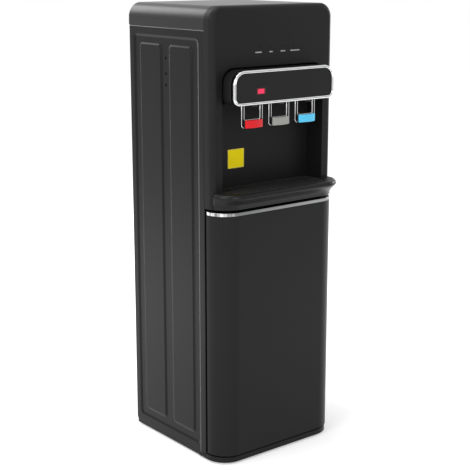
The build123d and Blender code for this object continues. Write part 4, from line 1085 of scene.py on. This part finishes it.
def doorSkin():
    s = linerShape
    low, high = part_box("door_liner")
    bm = bmesh.new()
    edge, margin, rib = s["edge"] * mm, s["margin"] * mm, s["rib"] * mm
    corners = (low.x, low.z), (high.x, high.z)
    rounded = roundOver(edge, s["edgeSteps"])
    sheet = profiledPlate(bm, *corners, s["outerCorner"] * mm, rounded, -edge)[0]
    border = openPlate(bm, sheet)
    width = (high.x - low.x - 2 * margin - (s["columns"] - 1) * rib) / s["columns"]
    sunk = softStep(s["slope"] * mm, -s["sink"] * mm, s["slopeSteps"])
    for step in range(s["columns"]):
        left = low.x + margin + step * (width + rib)
        corners = (left, low.z + margin), (left + width, high.z - margin)
        border += profiledPlate(bm, *corners, s["corner"] * mm, sunk)[1]
    fillBetween(bm, border)
    thicken(bm, Vector((0, 0, 1)), s["sheet"] * mm)
    place(bm, Matrix.Translation((0, high.y, 0)) @ rearward)
    addPiece("doorSkin", bm, "door", "liner_plastic", None, ["door_liner"])


doorSkin()

# angle strip that closes the joint between the base pan and the rear panel
sillShape = {"half": 160.8, "height": 15.0, "depth": 12.0, "sheet": 1.0, "lap": 0.4, "edge": 0.2}


def rearSill():
    s = sillShape
    bm = bmesh.new()
    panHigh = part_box("base_pan")[1]
    reach, sheet = s["half"] * mm, s["sheet"] * mm
    rear = panHigh.y + s["lap"] * mm
    legs = (panHigh.y - s["depth"] * mm, sheet), (rear - sheet, s["height"] * mm)
    for front, height in legs:
        high = (reach, rear, panHigh.z + height)
        addBox(bm, (-reach, front, panHigh.z), high, s["edge"] * mm)
    addPiece("rearSill", bm, "cabinet", "zinc", finishes["rear_steel"])


rearSill()

# near-black strip on the plinth under the door's lower edge: painted shade of the gap between door and
# plinth
plinthGapShadeShape = {
    "set": 1.4, "width": 3.0, "lean": 0.1, "clear": 0.6, "corner": 48.0, "back": -112.0,
    "tone": 0.0015, "gloss": 0.02,
}


def plinthSeal():
    s = plinthGapShadeShape
    low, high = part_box("base_pan")
    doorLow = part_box("door_panel")[0]
    inset, width, corner = s["set"] * mm, s["width"] * mm, s["corner"] * mm
    near, far = (low.x + inset, low.y + inset), (high.x - inset, s["back"] * mm)
    bm = bmesh.new()
    outer = roundedPlate(bm, near, far, (corner, corner, 0, 0), high.z, fineSteps)
    raisePlate(bm, outer, doorLow.z - s["clear"] * mm - high.z)
    followProfile(bm, outer, [(width, 0.0), (width + s["lean"] * mm, high.z - doorLow.z)])
    openPlate(bm, outer)
    closeBack(bm, True)
    addPiece("plinthSeal", bm, "cabinet", "rubber", blackRubberAndGapShade("sealRubber", s))


plinthSeal()

# near-black strips along the rear side edges of the door: painted shade of the gaps beside the door
doorGapShadeShape = {
    "width": 2.2, "sink": 0.6, "proud": 0.12, "bottom": 1.5, "top": 0.8, "edge": 0.1,
    "tone": 0.0015, "gloss": 0.0,
}


def doorEdgeSeal():
    s = doorGapShadeShape
    doorLow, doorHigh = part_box("door_panel")
    proud = s["proud"] * mm
    bm = bmesh.new()
    for side in (-1, 1):
        across = sorted((side * (doorHigh.x - s["sink"] * mm), side * (doorHigh.x + proud)))
        low = (across[0], doorHigh.y - s["width"] * mm, doorLow.z + s["bottom"] * mm)
        high = (across[1], doorHigh.y + proud, doorHigh.z - s["top"] * mm)
        addBox(bm, low, high, s["edge"] * mm, 1)
    addPiece("doorEdgeSeal", bm, "door", "rubber", blackRubberAndGapShade("edgeRubber", s))


doorEdgeSeal()

# pan-head screws of the rear panel, with a cross recess; the rings run from the recess to the seat
screwShape = {
    "across": 154.0, "first": 40.0, "pitch": 210.0, "rows": 5,
    "height": 2.2, "crossHalf": 0.55, "crossReach": 1.5, "crossDepth": 1.1,
    "rings": ((2.48, 2.068), (3.52, 1.496), (4.0, 0.6), (4.0, 0.0)), "steps": 24,
}


def vertsIn(geom):
    return [v for v in geom if isinstance(v, bmesh.types.BMVert)]


def crossScrew(bm, spot):
    s = screwShape
    head = bmesh.new()
    bmesh.ops.create_grid(head, x_segments=1, y_segments=1, size=s["crossHalf"] * mm)
    for arm in list(head.edges):
        middle = (arm.verts[0].co + arm.verts[1].co) / 2
        tips = vertsIn(bmesh.ops.extrude_edge_only(head, edges=[arm])["geom"])
        bmesh.ops.translate(head, vec=middle.normalized() * s["crossReach"] * mm, verts=tips)
    cross = head.faces[:]
    bmesh.ops.recalc_face_normals(head, faces=cross)
    rim = [e for e in head.edges if e.is_boundary]
    walls = bmesh.ops.extrude_edge_only(head, edges=rim)["geom"]
    upper = vertsIn(walls)
    bmesh.ops.translate(head, vec=(0, 0, s["height"] * mm), verts=upper)
    sunk = list({v for face in cross for v in face.verts})
    bmesh.ops.translate(head, vec=(0, 0, (s["height"] - s["crossDepth"]) * mm), verts=sunk)
    edges = [e for e in walls if isinstance(e, bmesh.types.BMEdge)]
    lip = [e for e in edges if all(v in upper for v in e.verts)]
    for radius, level in s["rings"]:
        ring = bmesh.ops.create_circle(
            head, cap_ends=False, radius=radius * mm, segments=s["steps"],
        )["verts"]
        bmesh.ops.translate(head, vec=(0, 0, level * mm), verts=ring)
        loop = list({e for v in ring for e in v.link_edges})
        bmesh.ops.bridge_loops(head, edges=lip + loop)
        lip = loop
    closeBack(head)
    place(head, Matrix.Translation(spot) @ Matrix.Rotation(math.radians(-90), 4, "X"))
    joinShape(bm, head)


bm = bmesh.new()
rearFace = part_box("rear_panel")[1].y
for side in (-1, 1):
    for row in range(screwShape["rows"]):
        rise = screwShape["first"] + row * screwShape["pitch"]
        crossScrew(bm, (side * screwShape["across"] * mm, rearFace, footZ + rise * mm))
addPiece("rearScrews", bm, "cabinet", "zinc", None, ["rear_panel_screws"])
print("small pieces made")

# pale floor that lifts towards white away from the object, for the eye and for reflections only
stageLook = {
    "floorSize": 14.0, "near": 0.35, "far": 1.3, "nearLift": 0.36, "farLift": 0.72, "ambient": 0.45,
    "floor": {"Base Color": (0.80, 0.80, 0.80, 1.0), "Roughness": 0.9, "Specular IOR Level": 0.0},
}


def paleFloor():
    s = stageLook
    bpy.ops.mesh.primitive_plane_add(size=s["floorSize"], location=(0, 0, 0))
    floor = bpy.context.object
    floor.name = "paleFloor"
    finish = Finish("paleFloor", s["floor"])
    away = finish.node("VectorMath", {"operation": "LENGTH"}, {0: finish.where}, "Value")
    fade = {"Value": away, "From Min": s["near"], "From Max": s["far"]}
    fade.update({"To Min": s["nearLift"], "To Max": s["farLift"]})
    reach = finish.node("MapRange", {"interpolation_type": "SMOOTHSTEP"}, fade)
    lift = finish.node("Emission", {}, {"Color": white, "Strength": finish.looking() * reach})
    plain = Wire(finish, finish.shader.outputs[0])
    both = finish.node("AddShader", {}, {0: plain, 1: lift})
    finish.tree.links.new(both.socket, finish.tree.nodes["Material Output"].inputs["Surface"])
    floor.data.materials.append(finish.material)
    floor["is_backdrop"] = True


paleFloor()

world = bpy.data.worlds.new("studio")
scene.world = world
world.use_nodes = True
sky = Graph(world.node_tree)
sky.tree.nodes.remove(sky.tree.nodes["Background"])
ambient = sky.node("Background", {}, {"Color": white, "Strength": stageLook["ambient"]})
backdrop = sky.node("Background", {}, {"Color": white, "Strength": 1.0})
choice = sky.node("MixShader", {}, {0: sky.looking(), 1: ambient, 2: backdrop})
sky.tree.links.new(choice.socket, sky.tree.nodes["World Output"].inputs["Surface"])

# soft lamps, each aimed at a height on the object's axis
lamps = {
    "leftBox": {"at": (-2.2, -0.4, 1.5), "aim": 0.55, "size": 1.6, "watts": 26.0},
    "topBox": {"at": (-0.5, 0.1, 2.6), "aim": 0.9, "size": 1.4, "watts": 24.0},
    "frontBox": {"at": (-1.0, -2.7, 1.4), "aim": 0.6, "size": 1.2, "watts": 22.0},
    "backBox": {"at": (-0.55, 2.0, 2.1), "aim": 0.8, "size": 1.2, "watts": 22.0},
    "rightBox": {"at": (2.4, -0.3, 1.1), "aim": 0.6, "size": 1.0, "watts": 16.0},
    "rearBox": {"at": (0.25, 2.8, 0.75), "aim": 0.5, "size": 1.2, "watts": 22.0},
}


def lookAlong(direction):
    return direction.to_track_quat("-Z", "Y").to_euler()


for lampName, look in lamps.items():
    lamp = bpy.data.lights.new(lampName, "AREA")
    lamp.shape = "SQUARE"
    lamp.size = look["size"]
    lamp.energy = look["watts"]
    holder = bpy.data.objects.new(lampName, lamp)
    scene.collection.objects.link(holder)
    holder.location = look["at"]
    holder.visible_camera = False
    holder.rotation_euler = lookAlong(Vector((0, 0, look["aim"])) - Vector(look["at"]))

# camera at the photograph's angle
view = {
    "at": (-1.5357, -1.9210, 1.0503), "azimuth": -38.625, "tilt": 13.554, "lens": 87.16, "sensor": 36.0,
}
camera = bpy.data.objects.new("camera", bpy.data.cameras.new("camera"))
scene.collection.objects.link(camera)
scene.camera = camera
camera.data.lens = view["lens"]
camera.data.sensor_width = view["sensor"]
camera.location = view["at"]
turn, tilt = math.radians(view["azimuth"]), math.radians(view["tilt"])
level = math.cos(tilt)
backward = Vector((math.sin(turn) * level, -math.cos(turn) * level, math.sin(tilt)))
camera.rotation_euler = lookAlong(-backward)
scene.view_settings.view_transform = "Standard"
print("floor, lamps and camera set")

newLow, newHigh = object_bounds()
sizes = {"cad": [list(cadLow), list(cadHigh)], "visual": [list(newLow), list(newHigh)]}
for sizeName, (low, high) in sizes.items():
    print("size,", sizeName + ":", [round(h - l, 4) for l, h in zip(low, high)])
